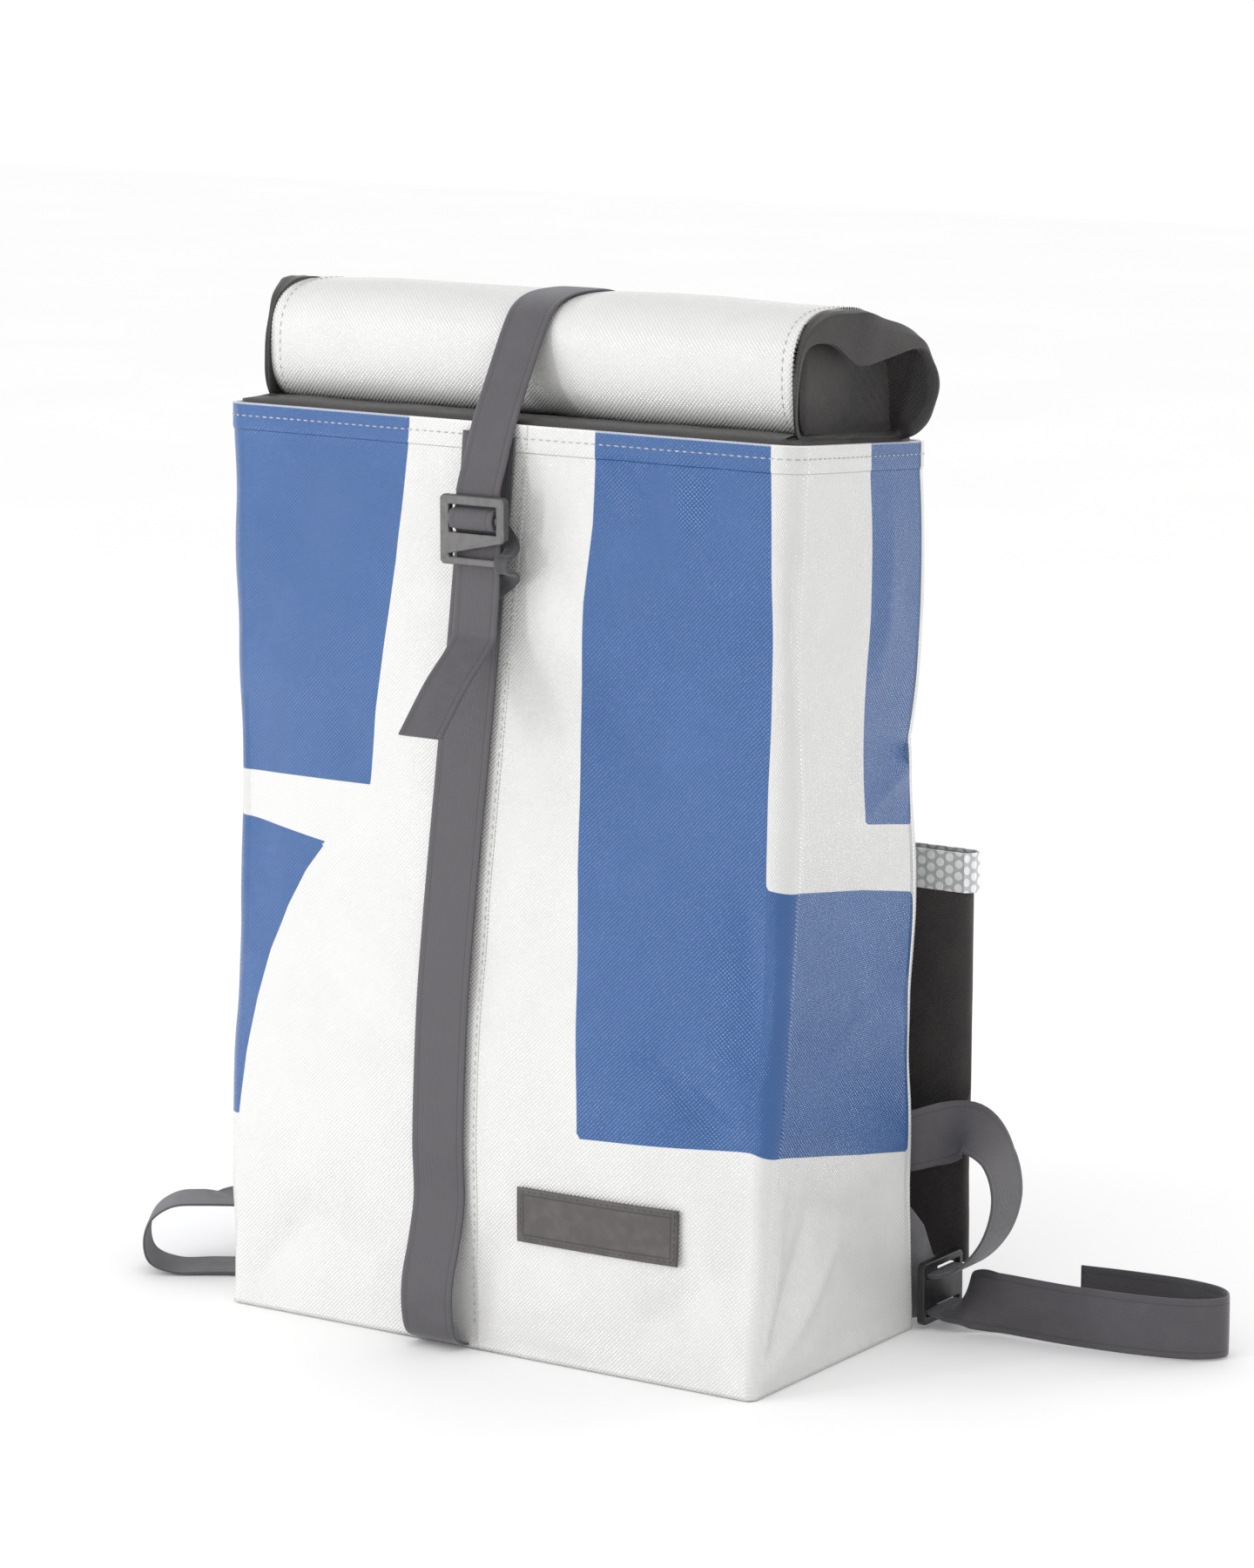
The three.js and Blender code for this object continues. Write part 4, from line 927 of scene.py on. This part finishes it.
hem_y = front_at(0, HEM)
strap_path = [
    Vector((0, HEM_REAR + lift, rear_hem - 34 * MM)),
    Vector((0, HEM_REAR + lift, rear_hem - 17 * MM)),
    *rise_to_roll(Vector((0, HEM_REAR + lift, rear_hem + GAP)), lift + 0.8 * MM),
    *over_roll(lift - 0.9 * MM, 30, 150),
    Vector((0, lerp(roll_point(150, lift).y, hem_y, 0.55), lerp(ROLL_TOP, HEM, 0.6))),
    Vector((0, hem_y - 2 * lift, HEM)),
    Vector((0, lerp(hem_y, BUCKLE_Y, 0.5), lerp(HEM, BUCKLE_TOP, 0.5))),
    at_buckle(behind + 0.2 * MM, BUCKLE_TOP + 2 * MM),
    at_buckle(behind, slot_high + turn),
    at_buckle(BUCKLE_THICK * 0.45, slot_high + 0.7 * MM),
    at_buckle(0, slot_high),
    at_buckle(-BUCKLE_THICK * 0.5, slot_high - 0.4 * MM),
    at_buckle(-behind - 0.2 * MM, slot_high - turn),
    at_buckle(-behind - 0.2 * MM, slot_low + turn),
    at_buckle(-BUCKLE_THICK * 0.5, slot_low + 0.4 * MM),
    at_buckle(0, slot_low),
    at_buckle(BUCKLE_THICK * 0.45, slot_low - 0.7 * MM),
    at_buckle(behind + 0.2 * MM, slot_low - turn),
    at_buckle(behind + 0.2 * MM, lerp(BUCKLE_LOW, slot_low, 0.3)),
    at_buckle(behind, BUCKLE_LOW - 1 * MM),
    at_buckle(behind * 0.6, BUCKLE_LOW - 15.3 * MM),
    at_buckle(0, BUCKLE_LOW - 28.9 * MM),
    crease,
    thrown(0.12, -1),
    thrown(0.5, 1.5),
    thrown(1, 0),
]
strap_mesh = band_mesh("strap_over_roll", level_rows(strap_path), 0.025, 1.5 * MM, steps=10, columns=28)
show("strap_over_roll", strap_mesh, webbing_narrow, "closing_strap")

# %% [markdown]
# ## Metal and moulded parts
# The hook buckle and the two ladder locks are hard, so their CAD solids are already right. A copy of
# each is merged, its flat faces are joined again and its edges are rounded with a small bevel, because
# a real casting has no knife edges and the light needs a rim to catch.

# %% Hard finishes
def make_hard(name, colour, worn, metallic, roughness, grain):
    finish, tree, shader = new_finish(name, roughness=roughness, Metallic=metallic, Specular_IOR_Level=0.5)
    point = own_point(tree)
    cloud = ramp(tree, fuzz(tree, point, 220.0, 5.0, 0.6), 0.4, 0.72)
    bevel = add_node(tree, "ShaderNodeNewGeometry").outputs["Pointiness"]
    rim = ramp(tree, bevel, 0.52, 0.6)
    base = mix_colour(tree, maths(tree, "MAXIMUM", maths(tree, "MULTIPLY", cloud, 0.5), rim), colour, worn)
    rough = ramp(tree, cloud, 0.0, 1.0, roughness, roughness + 0.15)
    normal = bump(tree, fuzz(tree, point, grain, 3.0), 0.00012, 0.5)
    wire(tree, shader, Base_Color=base, Roughness=rough, Normal=normal)
    return finish


GUNMETAL, GUNMETAL_WORN = (0.070, 0.068, 0.070, 1), (0.17, 0.165, 0.16, 1)
BLACK, BLACK_WORN = (0.012, 0.012, 0.013, 1), (0.035, 0.035, 0.036, 1)
buckle_metal = make_hard("buckle_metal", GUNMETAL, GUNMETAL_WORN, 0.45, 0.36, 1400.0)
black_plastic = make_hard("black_plastic", BLACK, BLACK_WORN, 0.0, 0.38, 1900.0)


def rounded_copy(node, name, finish, radius):
    bm = bmesh.new()
    bm.from_mesh(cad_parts[node].data)
    bmesh.ops.remove_doubles(bm, verts=bm.verts, dist=1e-6)
    bmesh.ops.dissolve_limit(bm, angle_limit=math.radians(2), verts=bm.verts, edges=bm.edges)
    sharp = [e for e in bm.edges if e.is_manifold and e.calc_face_angle(0) > math.radians(24)]
    bmesh.ops.bevel(bm, geom=sharp, offset=radius, affect="EDGES", segments=3, profile=0.5, material=-1)
    bmesh.ops.triangulate(bm, faces=[f for f in bm.faces if len(f.verts) > 4])
    for face in bm.faces:
        face.smooth = face.calc_area() < 1.6e-5
    mesh = bpy.data.meshes.new(name)
    bm.to_mesh(mesh)
    bm.free()
    return show(name, mesh, finish, node)


rounded_copy("hook_buckle", "strap_hook", buckle_metal, 0.55 * MM)
for word in ("right", "left"):
    rounded_copy(f"ladder_lock_{word}", f"lock_{word}", black_plastic, 0.6 * MM)

# %% [markdown]
# ## Hook loop
# A narrow loop is sewn to the front webbing. It goes round the buckle's lower bar and holds the hook.

# %% Hook loop
def loop_rows():
    low, high = BUCKLE_LOW - 15 * MM, BUCKLE_LOW + 19 * MM
    x = 17.5 * MM
    curl = WEB / 2 + 2 * GAP
    half = BUCKLE_THICK / 2

    def sewn(z):
        return on_front(webbing_x(z) + 10 * MM, z, WEB * 1.5 + 4 * GAP)

    def near(back, z):
        return (x, BUCKLE_Y + back, z)

    bar = 3.5 * MM
    below, above = BUCKLE_LOW - curl, BUCKLE_LOW + bar + curl
    round_bar = [
        near(half + 4 * MM, BUCKLE_LOW - 4 * MM), near(half, below - 0.6 * MM), near(-half, below),
        near(-half - curl, BUCKLE_LOW + bar / 2), near(-half, above), near(half, above + 0.6 * MM),
        near(half + 4 * MM, BUCKLE_LOW + bar + 5 * MM),
    ]
    return [sewn(low), *round_bar, sewn(high)]


loop_mesh = band_mesh("hook_loop_band", level_rows(loop_rows()), 0.008, 1.5 * MM, steps=8, columns=20)
show("hook_loop_band", loop_mesh, webbing_loop, "hook_loop")

# %% [markdown]
# ## Label patch
# A dark rubbery patch is sewn to the lower front. It is plain: a fine grain, a shallow pressed border whose
# groove is painted darker as shade, and stitches round its edge.

# %% Label patch
def make_patch():
    finish, tree, shader = new_finish("patch_rubber", roughness=0.55, Specular_IOR_Level=0.35)
    x, y, z = split(tree, own_point(tree))
    from_x = maths(tree, "ABSOLUTE", maths(tree, "SUBTRACT", x, PATCH_X))
    from_z = maths(tree, "ABSOLUTE", maths(tree, "SUBTRACT", z, PATCH_Z))
    far_x = maths(tree, "SUBTRACT", from_x, PATCH_HALF_WIDTH)
    far_z = maths(tree, "SUBTRACT", from_z, PATCH_HALF_HEIGHT)
    rim = maths(tree, "MAXIMUM", far_x, far_z)
    groove_and_shade = ramp(tree, maths(tree, "ABSOLUTE", maths(tree, "ADD", rim, 0.0036)), 0.0002, 0.0006, 1.0, 0.0)
    cloud = ramp(tree, fuzz(tree, own_point(tree), 120.0, 5.0, 0.6), 0.4, 0.7)
    base = mix_colour(tree, cloud, (0.078, 0.072, 0.070, 1), (0.105, 0.098, 0.095, 1))
    # Painted shade: the pressed border's groove is darkened in the colour, on top of the bump that sinks it.
    base = mix_colour(tree, maths(tree, "MULTIPLY", groove_and_shade, 0.5), base, (0.03, 0.028, 0.027, 1))
    grain = maths(tree, "MULTIPLY", fuzz(tree, own_point(tree), 1500.0, 2.0), 0.35)
    normal = bump(tree, maths(tree, "SUBTRACT", grain, groove_and_shade), 0.0003, 0.6)
    wire(tree, shader, Base_Color=base, Roughness=ramp(tree, cloud, 0.0, 1.0, 0.5, 0.64), Normal=normal)
    return finish


def patch_rows():
    rows = []
    for share in np.linspace(-0.5, 0.5, 9):
        x = PATCH_X + share * 2 * PATCH_HALF_WIDTH
        slope = front_at(x, PATCH_Z + PATCH_HALF_HEIGHT) - front_at(x, PATCH_Z - PATCH_HALF_HEIGHT)
        rows.append((on_front(x, PATCH_Z, 0.9 * MM), (0, slope, 2 * PATCH_HALF_HEIGHT)))
    return rows


patch_mesh = band_mesh("patch", patch_rows(), 2 * PATCH_HALF_HEIGHT, 1.0 * MM, steps=6, columns=24)
show("patch", patch_mesh, make_patch(), "label_patch")

# %% [markdown]
# ## Padded panels
# The back panel and the shoulder pads are textile over foam. A cloth simulation blows each one up a
# little from a slightly thinner copy, which rounds the faces and pulls the edges in, as a filled cover
# does.

# %% Padding helper
def padded_piece(node, name, voxel, pressure, cap):
    bm = bmesh.new()
    bm.from_mesh(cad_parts[node].data)
    bmesh.ops.remove_doubles(bm, verts=bm.verts, dist=1e-6)
    mesh = bpy.data.meshes.new(name)
    bm.to_mesh(mesh)
    bm.free()
    piece = show(name, mesh, padding, node)
    remesh = piece.modifiers.new("remesh", "REMESH")
    remesh.mode, remesh.voxel_size, remesh.use_smooth_shade = "VOXEL", voxel, True
    bake_modifiers(piece)
    start = np.array([v.co for v in piece.data.vertices])
    cloth = piece.modifiers.new("cloth", "CLOTH")
    cloth.settings.use_pressure = True
    cloth.settings.uniform_pressure_force = pressure
    cloth.settings.effector_weights.gravity = 0
    cloth.settings.tension_stiffness = 40
    cloth.settings.compression_stiffness = 40
    cloth.point_cache.frame_end = 20
    for number in range(1, 21):
        bpy.context.scene.frame_set(number)
    bake_modifiers(piece)
    end = np.array([v.co for v in piece.data.vertices])
    move = end - start
    reach = np.linalg.norm(move, axis=1)[:, None]
    end = start + move * np.minimum(1, cap / np.maximum(reach, 1e-9))
    piece.data.vertices.foreach_set("co", end.ravel())
    bpy.context.scene.frame_set(1)
    smooth = piece.modifiers.new("smooth", "SUBSURF")
    smooth.levels = smooth.render_levels = 1
    bake_modifiers(piece)
    for polygon in piece.data.polygons:
        polygon.use_smooth = True
    return piece


def bake_modifiers(piece):
    bpy.context.view_layer.update()
    ready = piece.evaluated_get(bpy.context.evaluated_depsgraph_get())
    baked = bpy.data.meshes.new_from_object(ready)
    piece.modifiers.clear()
    old, piece.data = piece.data, baked
    bpy.data.meshes.remove(old)


padded_piece("back_panel", "back_pad", 0.0045, 1.2, 0.0025)
for word in ("right", "left"):
    padded_piece(f"shoulder_pad_{word}", f"strap_pad_{word}", 0.0035, 1.2, 0.0005)

# %% [markdown]
# ## Reflective bands
# Silver tape with a honeycomb of bright cells wraps the top of each pad. Three waves at sixty degrees
# add up to a regular hexagonal pattern, which is enough for the cells.

# %% Reflective bands
def make_reflective():
    finish, tree, shader = new_finish("honeycomb_tape", roughness=0.32, Metallic=0.15, Specular_IOR_Level=0.6)
    x, y, z = split(tree, own_point(tree))
    cell = 2 * math.pi / 0.0052
    along = maths(tree, "ADD", x, y)
    waves = []
    for degrees in (0, 60, 120):
        c, s = math.cos(math.radians(degrees)), math.sin(math.radians(degrees))
        sideways, upward = maths(tree, "MULTIPLY", along, cell * c), maths(tree, "MULTIPLY", z, cell * s)
        waves.append(maths(tree, "COSINE", maths(tree, "ADD", sideways, upward)))
    total = maths(tree, "ADD", maths(tree, "ADD", waves[0], waves[1]), waves[2])
    cells = ramp(tree, total, -0.9, 0.2)
    dirt = ramp(tree, fuzz(tree, own_point(tree), 160.0, 4.0), 0.35, 0.75)
    bright = mix_colour(tree, dirt, (0.90, 0.91, 0.91, 1), (0.80, 0.81, 0.81, 1))
    base = mix_colour(tree, cells, (0.52, 0.53, 0.54, 1), bright)
    rough = ramp(tree, cells, 0.0, 1.0, 0.5, 0.26)
    wire(tree, shader, Base_Color=base, Roughness=rough, Normal=bump(tree, cells, 0.0004, 0.7))
    return finish


tape = make_reflective()
for word in ("right", "left"):
    rounded_copy(f"reflective_band_{word}", f"tape_{word}", tape, 0.3 * MM)

# %% [markdown]
# ## Shoulder webbing
# Above each pad a strap of webbing slants up to the back panel. Below it, a grey tab holds the ladder
# lock at the bag's lower corner. The adjuster webbing makes a slack arch into the lock, and its free end
# leaves the lock along the floor. Cloth this loose has no joint: it keeps the shape in the photo.

# %% Upper webbing
PAD_TOP = 234 * MM
YOKE_HEIGHT = 346 * MM


def upper_rows(side):
    foot = Vector((side * 108 * MM, 103.9 * MM, PAD_TOP + GAP))
    end = Vector((side * 46 * MM, rear_at(YOKE_HEIGHT) + 2 * GAP + 9 * MM + 1.4 * MM, YOKE_HEIGHT))
    slant = end - foot
    turned = Vector((slant.z, 0, -slant.x)).normalized()

    def part(share, out):
        y = lerp(foot.y, end.y, math.sqrt(share)) + out * MM
        return Vector((lerp(foot.x, end.x, share), y, lerp(foot.z, end.z, share)))

    first = Vector(ACROSS)
    return [(foot, first), (foot + Vector((0, 0, 7.5 * MM)), first), (part(0.2, 0), first.lerp(turned, 0.6)),
            (part(0.45, 1), turned), (part(0.8, 0.6), turned), (end, turned)]


for side, word in ((1, "right"), (-1, "left")):
    mesh = band_mesh(f"yoke_strap_{word}", upper_rows(side), 0.030, 1.5 * MM, steps=10)
    show(f"yoke_strap_{word}", mesh, webbing_wide, f"upper_webbing_{word}")

# %% Adjuster webbing and tails
# Routes start at the lock's slots. The arch's columns: out, back, up, lean in degrees. A tail's columns:
# out, back, up, share at the slot's height, heading and lean in degrees.
LOCK_X, LOCK_Y = 159 * MM, 90 * MM
SLOT_LOW, SLOT_HIGH = 7.9 * MM, 27.1 * MM
REST = -1.15 * MM
ARCH = [
    (-0.62, 0, 1, 90), (-0.3, 0.1, 1.01, 90), (0.05, 0.7, 1.06, 80), (0.45, 1, 1.11, 45),
    (0.85, 1.1, 0.93, 8), (1, 1.1, 0.66, 0), (0.88, 1.05, 0.36, 0), (0.55, 1, 0.12, 0), (0.2, 1, 0.01, 0),
    (-0.03, 1, 0, 0),
]
RIGHT_TAIL = [
    (-0.007, 0, 0, 1, 0, 0), (0.05, 0, 0, 1, 0, 4), (0.13, -0.01, 0.47, 0, 0, 60),
    (0.24, -0.02, 0.51, 0, 0, 88), (0.5, -0.02, 0.51, 0, 0, 90), (0.76, 0.01, 0.51, 0, 10, 90),
    (0.94, 0.07, 0.51, 0, 40, 90), (1, 0.15, 0.51, 0, 90, 90), (0.95, 0.23, 0.51, 0, 140, 90),
    (0.82, 0.265, 0.51, 0, 180, 90), (0.6, 0.25, 0.51, 0, 180, 90), (0.42, 0.22, 0.51, 0, 180, 90),
]
LEFT_TAIL = [
    (-0.007, 0, 0, 1, 0, 0), (0.06, 0, 0, 1, 0, 8), (0.16, -0.06, 0.56, 0, -45, 70),
    (0.21, -0.2, 0.68, 0, -85, 90), (0.215, -0.42, 0.76, 0, -90, 80), (0.215, -0.64, 0.95, 0, -85, 30),
    (0.245, -0.8, 1.15, 0, -60, 0), (0.31, -0.89, 1.22, 0, -35, 0), (0.395, -0.945, 1.18, 0, -32, 0),
    (0.46, -0.985, 0.93, 0, -32, 0), (0.48, -1, 0.57, 0, -32, 0), (0.465, -0.99, 0.22, 0, -32, 0),
    (0.395, -0.945, 0.04, 0, -32, 0), (0.28, -0.87, 0.035, 0, -32, 0), (0.15, -0.79, 0.035, 0, -32, 0),
]


def leaning(heading, lean, side):
    way, flat = math.radians(heading), math.cos(math.radians(lean))
    return Vector((-side * math.sin(way) * flat, math.cos(way) * flat, math.sin(math.radians(lean))))


ARCH_HEIGHT, ARCH_OUT = 92 * MM, 36 * MM


def arch_rows(side):
    bag_y = rear_at(ARCH_HEIGHT) + GAP + WEB / 2
    rows = []
    for out, back, up, lean in ARCH:
        z = lerp(SLOT_HIGH + REST, ARCH_HEIGHT, up)
        point = Vector((side * (LOCK_X + out * ARCH_OUT), lerp(bag_y, LOCK_Y, back), z))
        rows.append((point, leaning(0, lean, side)))
    return rows


def tail_rows(side):
    route, reach = (RIGHT_TAIL, 146 * MM) if side > 0 else (LEFT_TAIL, 140 * MM)
    rows = []
    for out, back, up, slot, heading, lean in route:
        z = lerp(0.2 * MM + up * 30 * MM, SLOT_LOW, slot)
        point = Vector((side * (LOCK_X + out * reach), LOCK_Y + back * reach, z))
        rows.append((point, leaning(heading, lean, side)))
    return rows


for side, word in ((1, "right"), (-1, "left")):
    arch_mesh = band_mesh(f"slack_{word}", arch_rows(side), 0.030, 1.5 * MM, steps=10)
    show(f"slack_{word}", arch_mesh, webbing_wide, f"adjuster_webbing_{word}")
    tail_mesh = band_mesh(f"tail_{word}", tail_rows(side), 0.030, 1.5 * MM, steps=10)
    show(f"tail_{word}", tail_mesh, webbing_wide, f"webbing_tail_{word}")

# %% Corner tabs
GREY, GREY_WORN = (0.17, 0.165, 0.175, 1), (0.23, 0.225, 0.235, 1)
tab_cloth = make_textile("tab_cloth", GREY, GREY_WORN, 0.0014, 0.75, 0.0)
for word in ("right", "left"):
    rounded_copy(f"corner_tab_{word}", f"tab_{word}", tab_cloth, 0.5 * MM)

# %% [markdown]
# ## Stitches
# Thread shows along the hem, beside the front webbing, at the roll's ends and round the patch. Each
# stitch is one small stretched ball of twenty faces, half sunk in the cloth, because hundreds of them
# are needed.

# %% Stitch helper
def make_thread(name, colour, worn):
    finish, tree, shader = new_finish(name, roughness=0.6, Sheen_Weight=0.2)
    twist = ramp(tree, fuzz(tree, own_point(tree), 900.0, 2.0), 0.35, 0.65)
    base = mix_colour(tree, twist, colour, worn)
    wire(tree, shader, Base_Color=base, Roughness=ramp(tree, twist, 0.0, 1.0, 0.5, 0.75))
    return finish


def sew(name, points, outward, pitch, length, radius, finish):
    """A run of stitches along points; outward gives the way each one faces."""
    points = np.array(points)
    steps = np.linalg.norm(np.diff(points, axis=0), axis=1)
    reach = np.concatenate([[0], np.cumsum(steps)])
    count = int(reach[-1] / pitch)
    bm = bmesh.new()
    for number in range(count):
        at = (number + 0.5) * pitch
        here = np.array([np.interp(at, reach, points[:, k]) for k in range(3)])
        ahead = np.array([np.interp(min(at + 0.001, reach[-1]), reach, points[:, k]) for k in range(3)])
        along = Vector(ahead - here)
        if along.length < 1e-7:
            continue
        along.normalize()
        out = Vector(outward(here))
        turn_to = Matrix((along, out.cross(along).normalized(), out)).transposed().to_4x4()
        sized = Matrix.Diagonal((length / 2, radius, radius * 0.8, 1))
        place = Matrix.Translation(Vector(here)) @ turn_to @ sized
        bmesh.ops.create_icosphere(bm, subdivisions=1, radius=1, matrix=place)
    for face in bm.faces:
        face.smooth = True
    mesh = bpy.data.meshes.new(name)
    bm.to_mesh(mesh)
    bm.free()
    return show(name, mesh, finish)


def nearest_body_point(columns, drop):
    """Points of the finished body, on a line a given drop below the hem."""
    table = []
    for u in columns:
        uu = np.array([u])
        z_row = (HEM - drop)
        row = BASE_ROWS + z_row / HEM * (WALL_ROWS - 1)
        low = int(row)
        pair = [body_place(uu, np.array([(low + k) / (len(ROWS) - 1)]))[0] for k in (0, 1)]
        table.append(lerp(pair[0], pair[1], row - low))
    return table


grey_thread = make_thread("grey_thread", (0.34, 0.34, 0.35, 1), (0.5, 0.5, 0.5, 1))
dark_thread = make_thread("dark_thread", (0.03, 0.03, 0.03, 1), (0.08, 0.08, 0.08, 1))


CORNER_X, CORNER_Y = HEM_HALF - HEM_CORNER, HEM_FRONT - HEM_CORNER


def away_from_middle(point):
    x, y = point[0], point[1]
    if abs(x) < CORNER_X - 1 * MM:
        return (0, -1 if y < 0 else 1, 0)
    if abs(y) < CORNER_Y:
        return (1 if x > 0 else -1, 0, 0)
    corner = Vector((x - math.copysign(CORNER_X, x), y - math.copysign(CORNER_Y, y), 0))
    return corner.normalized()


hem_line = nearest_body_point(np.linspace(0, 1, 331), 6.0 * MM)
THREAD = 0.42 * MM
sew("hem_stitches", hem_line, away_from_middle, 4.2 * MM, 3.2 * MM, THREAD, grey_thread)

# %% Placket and roll stitches
def forward(point):
    return (0, -1, 0)


def placket_line():
    table = []
    lengths = [side[1] for side in SIDES]
    front_start, front_span = sum(lengths[:4]), lengths[4]
    total = sum(lengths)
    for z in np.linspace(0.012, HEM - 0.016, 150):
        outline = outline_at(z)
        x = webbing_x(z) + 0.0188
        reach = float(outline["half"] - outline["radius"])
        share = (reach - x) / (2 * reach)
        u = (front_start + share * front_span) / total
        row = BASE_ROWS + z / HEM * (WALL_ROWS - 1)
        low = int(row)
        pair = [body_place(np.array([u]), np.array([(low + k) / (len(ROWS) - 1)]))[0] for k in (0, 1)]
        table.append(lerp(pair[0], pair[1], row - low))
    return table


sew("placket_stitches", placket_line(), forward, 4.4 * MM, 2.9 * MM, THREAD, grey_thread)


def roll_line(x):
    u = x / ROLL_WIDTH + 0.5
    total = 2 * len(centre) - 1
    rows_used = range(20, len(centre) - 40)
    return [roll_place(np.array([u]), np.array([row / total]))[0] for row in rows_used]


def roll_outward(point):
    out = Vector((0, point[1] - ROLL_MIDDLE, point[2] - (ROLL_TOP + ROLL_BOTTOM) / 2))
    return out.normalized()


for word, x in (("right", 0.1445), ("left", -0.1445)):
    sew(f"roll_stitches_{word}", roll_line(x), roll_outward, 4.2 * MM, 3.0 * MM, THREAD, grey_thread)


def patch_line():
    corners = [(-1, -1), (1, -1), (1, 1), (-1, 1), (-1, -1)]
    table = []
    for (x0, z0), (x1, z1) in zip(corners, corners[1:]):
        for share in np.linspace(0, 1, 24, endpoint=False):
            x = PATCH_X + lerp(x0, x1, share) * (PATCH_HALF_WIDTH - 2 * MM)
            z = PATCH_Z + lerp(z0, z1, share) * (PATCH_HALF_HEIGHT - 2 * MM)
            table.append((x, front_at(x, z) - GAP - 1.45 * MM, z))
    return table


sew("patch_stitches", patch_line(), forward, 3.4 * MM, 2.3 * MM, 0.3 * MM, dark_thread)

# %% [markdown]
# ## Floor and studio light
# The photo is bright all round: a white floor that runs into a white wall, so the world is white and
# the floor takes only a soft contact shadow. A large soft light stands at the front left. Three narrow
# ones stand where the front and the side mirror them to the camera, so that the coat shows a gloss.

# %% Floor
PAPER, PAPER_SHADE = (0.975, 0.972, 0.97, 1), (0.96, 0.957, 0.955, 1)


def make_floor():
    finish, tree, shader = new_finish("studio_floor", roughness=0.7, Specular_IOR_Level=0.2)
    cloud = fuzz(tree, own_point(tree), 3.0, 2.0)
    base = mix_colour(tree, ramp(tree, cloud, 0.3, 0.7), PAPER, PAPER_SHADE)
    wire(tree, shader, Base_Color=base)
    return finish


floor_bm = bmesh.new()
bmesh.ops.create_grid(floor_bm, x_segments=2, y_segments=2, size=6)
floor_mesh = bpy.data.meshes.new("floor")
floor_bm.to_mesh(floor_mesh)
floor_bm.free()
floor_mesh.materials.append(make_floor())
floor = bpy.data.objects.new("floor", floor_mesh)
floor.location.z = -0.0005
bpy.context.scene.collection.objects.link(floor)

# %% Lights
def soft_light(name, place, aim, size, power):
    light = bpy.data.lights.new(name, "AREA")
    light.shape, light.energy = "RECTANGLE", power
    light.size, light.size_y = size
    lamp = bpy.data.objects.new(name, light)
    lamp.location = place
    lamp.rotation_euler = (Vector(aim) - Vector(place)).to_track_quat("-Z", "Y").to_euler()
    bpy.context.scene.collection.objects.link(lamp)
    return lamp


soft_light("key", (-1.3, -1.9, 1.7), (0, 0, 0.25), (1.2, 1.2), 5)
soft_light("top", (0.1, 0.3, 2.2), (0, 0, 0.3), (1.4, 1.4), 3)
soft_light("front_strip", (-0.60, -1.36, 0.34), (0.085, -0.07, 0.34), (0.12, 0.5), 4.0)
soft_light("left_panel", (-1.12, -1.04, 0.3), (-0.12, -0.06, 0.3), (0.4, 1.0), 5.0)
soft_light("side_strip", (0.83, 1.10, 0.3), (0.16, 0, 0.3), (0.07, 0.6), 1.5)
world = bpy.data.worlds.new("studio")
world.use_nodes = True
world.node_tree.nodes["Background"].inputs[0].default_value = (1, 1, 1, 1)
world.node_tree.nodes["Background"].inputs[1].default_value = 1.02
bpy.context.scene.world = world
bpy.context.scene.view_settings.view_transform = "Standard"
print("five soft lights")
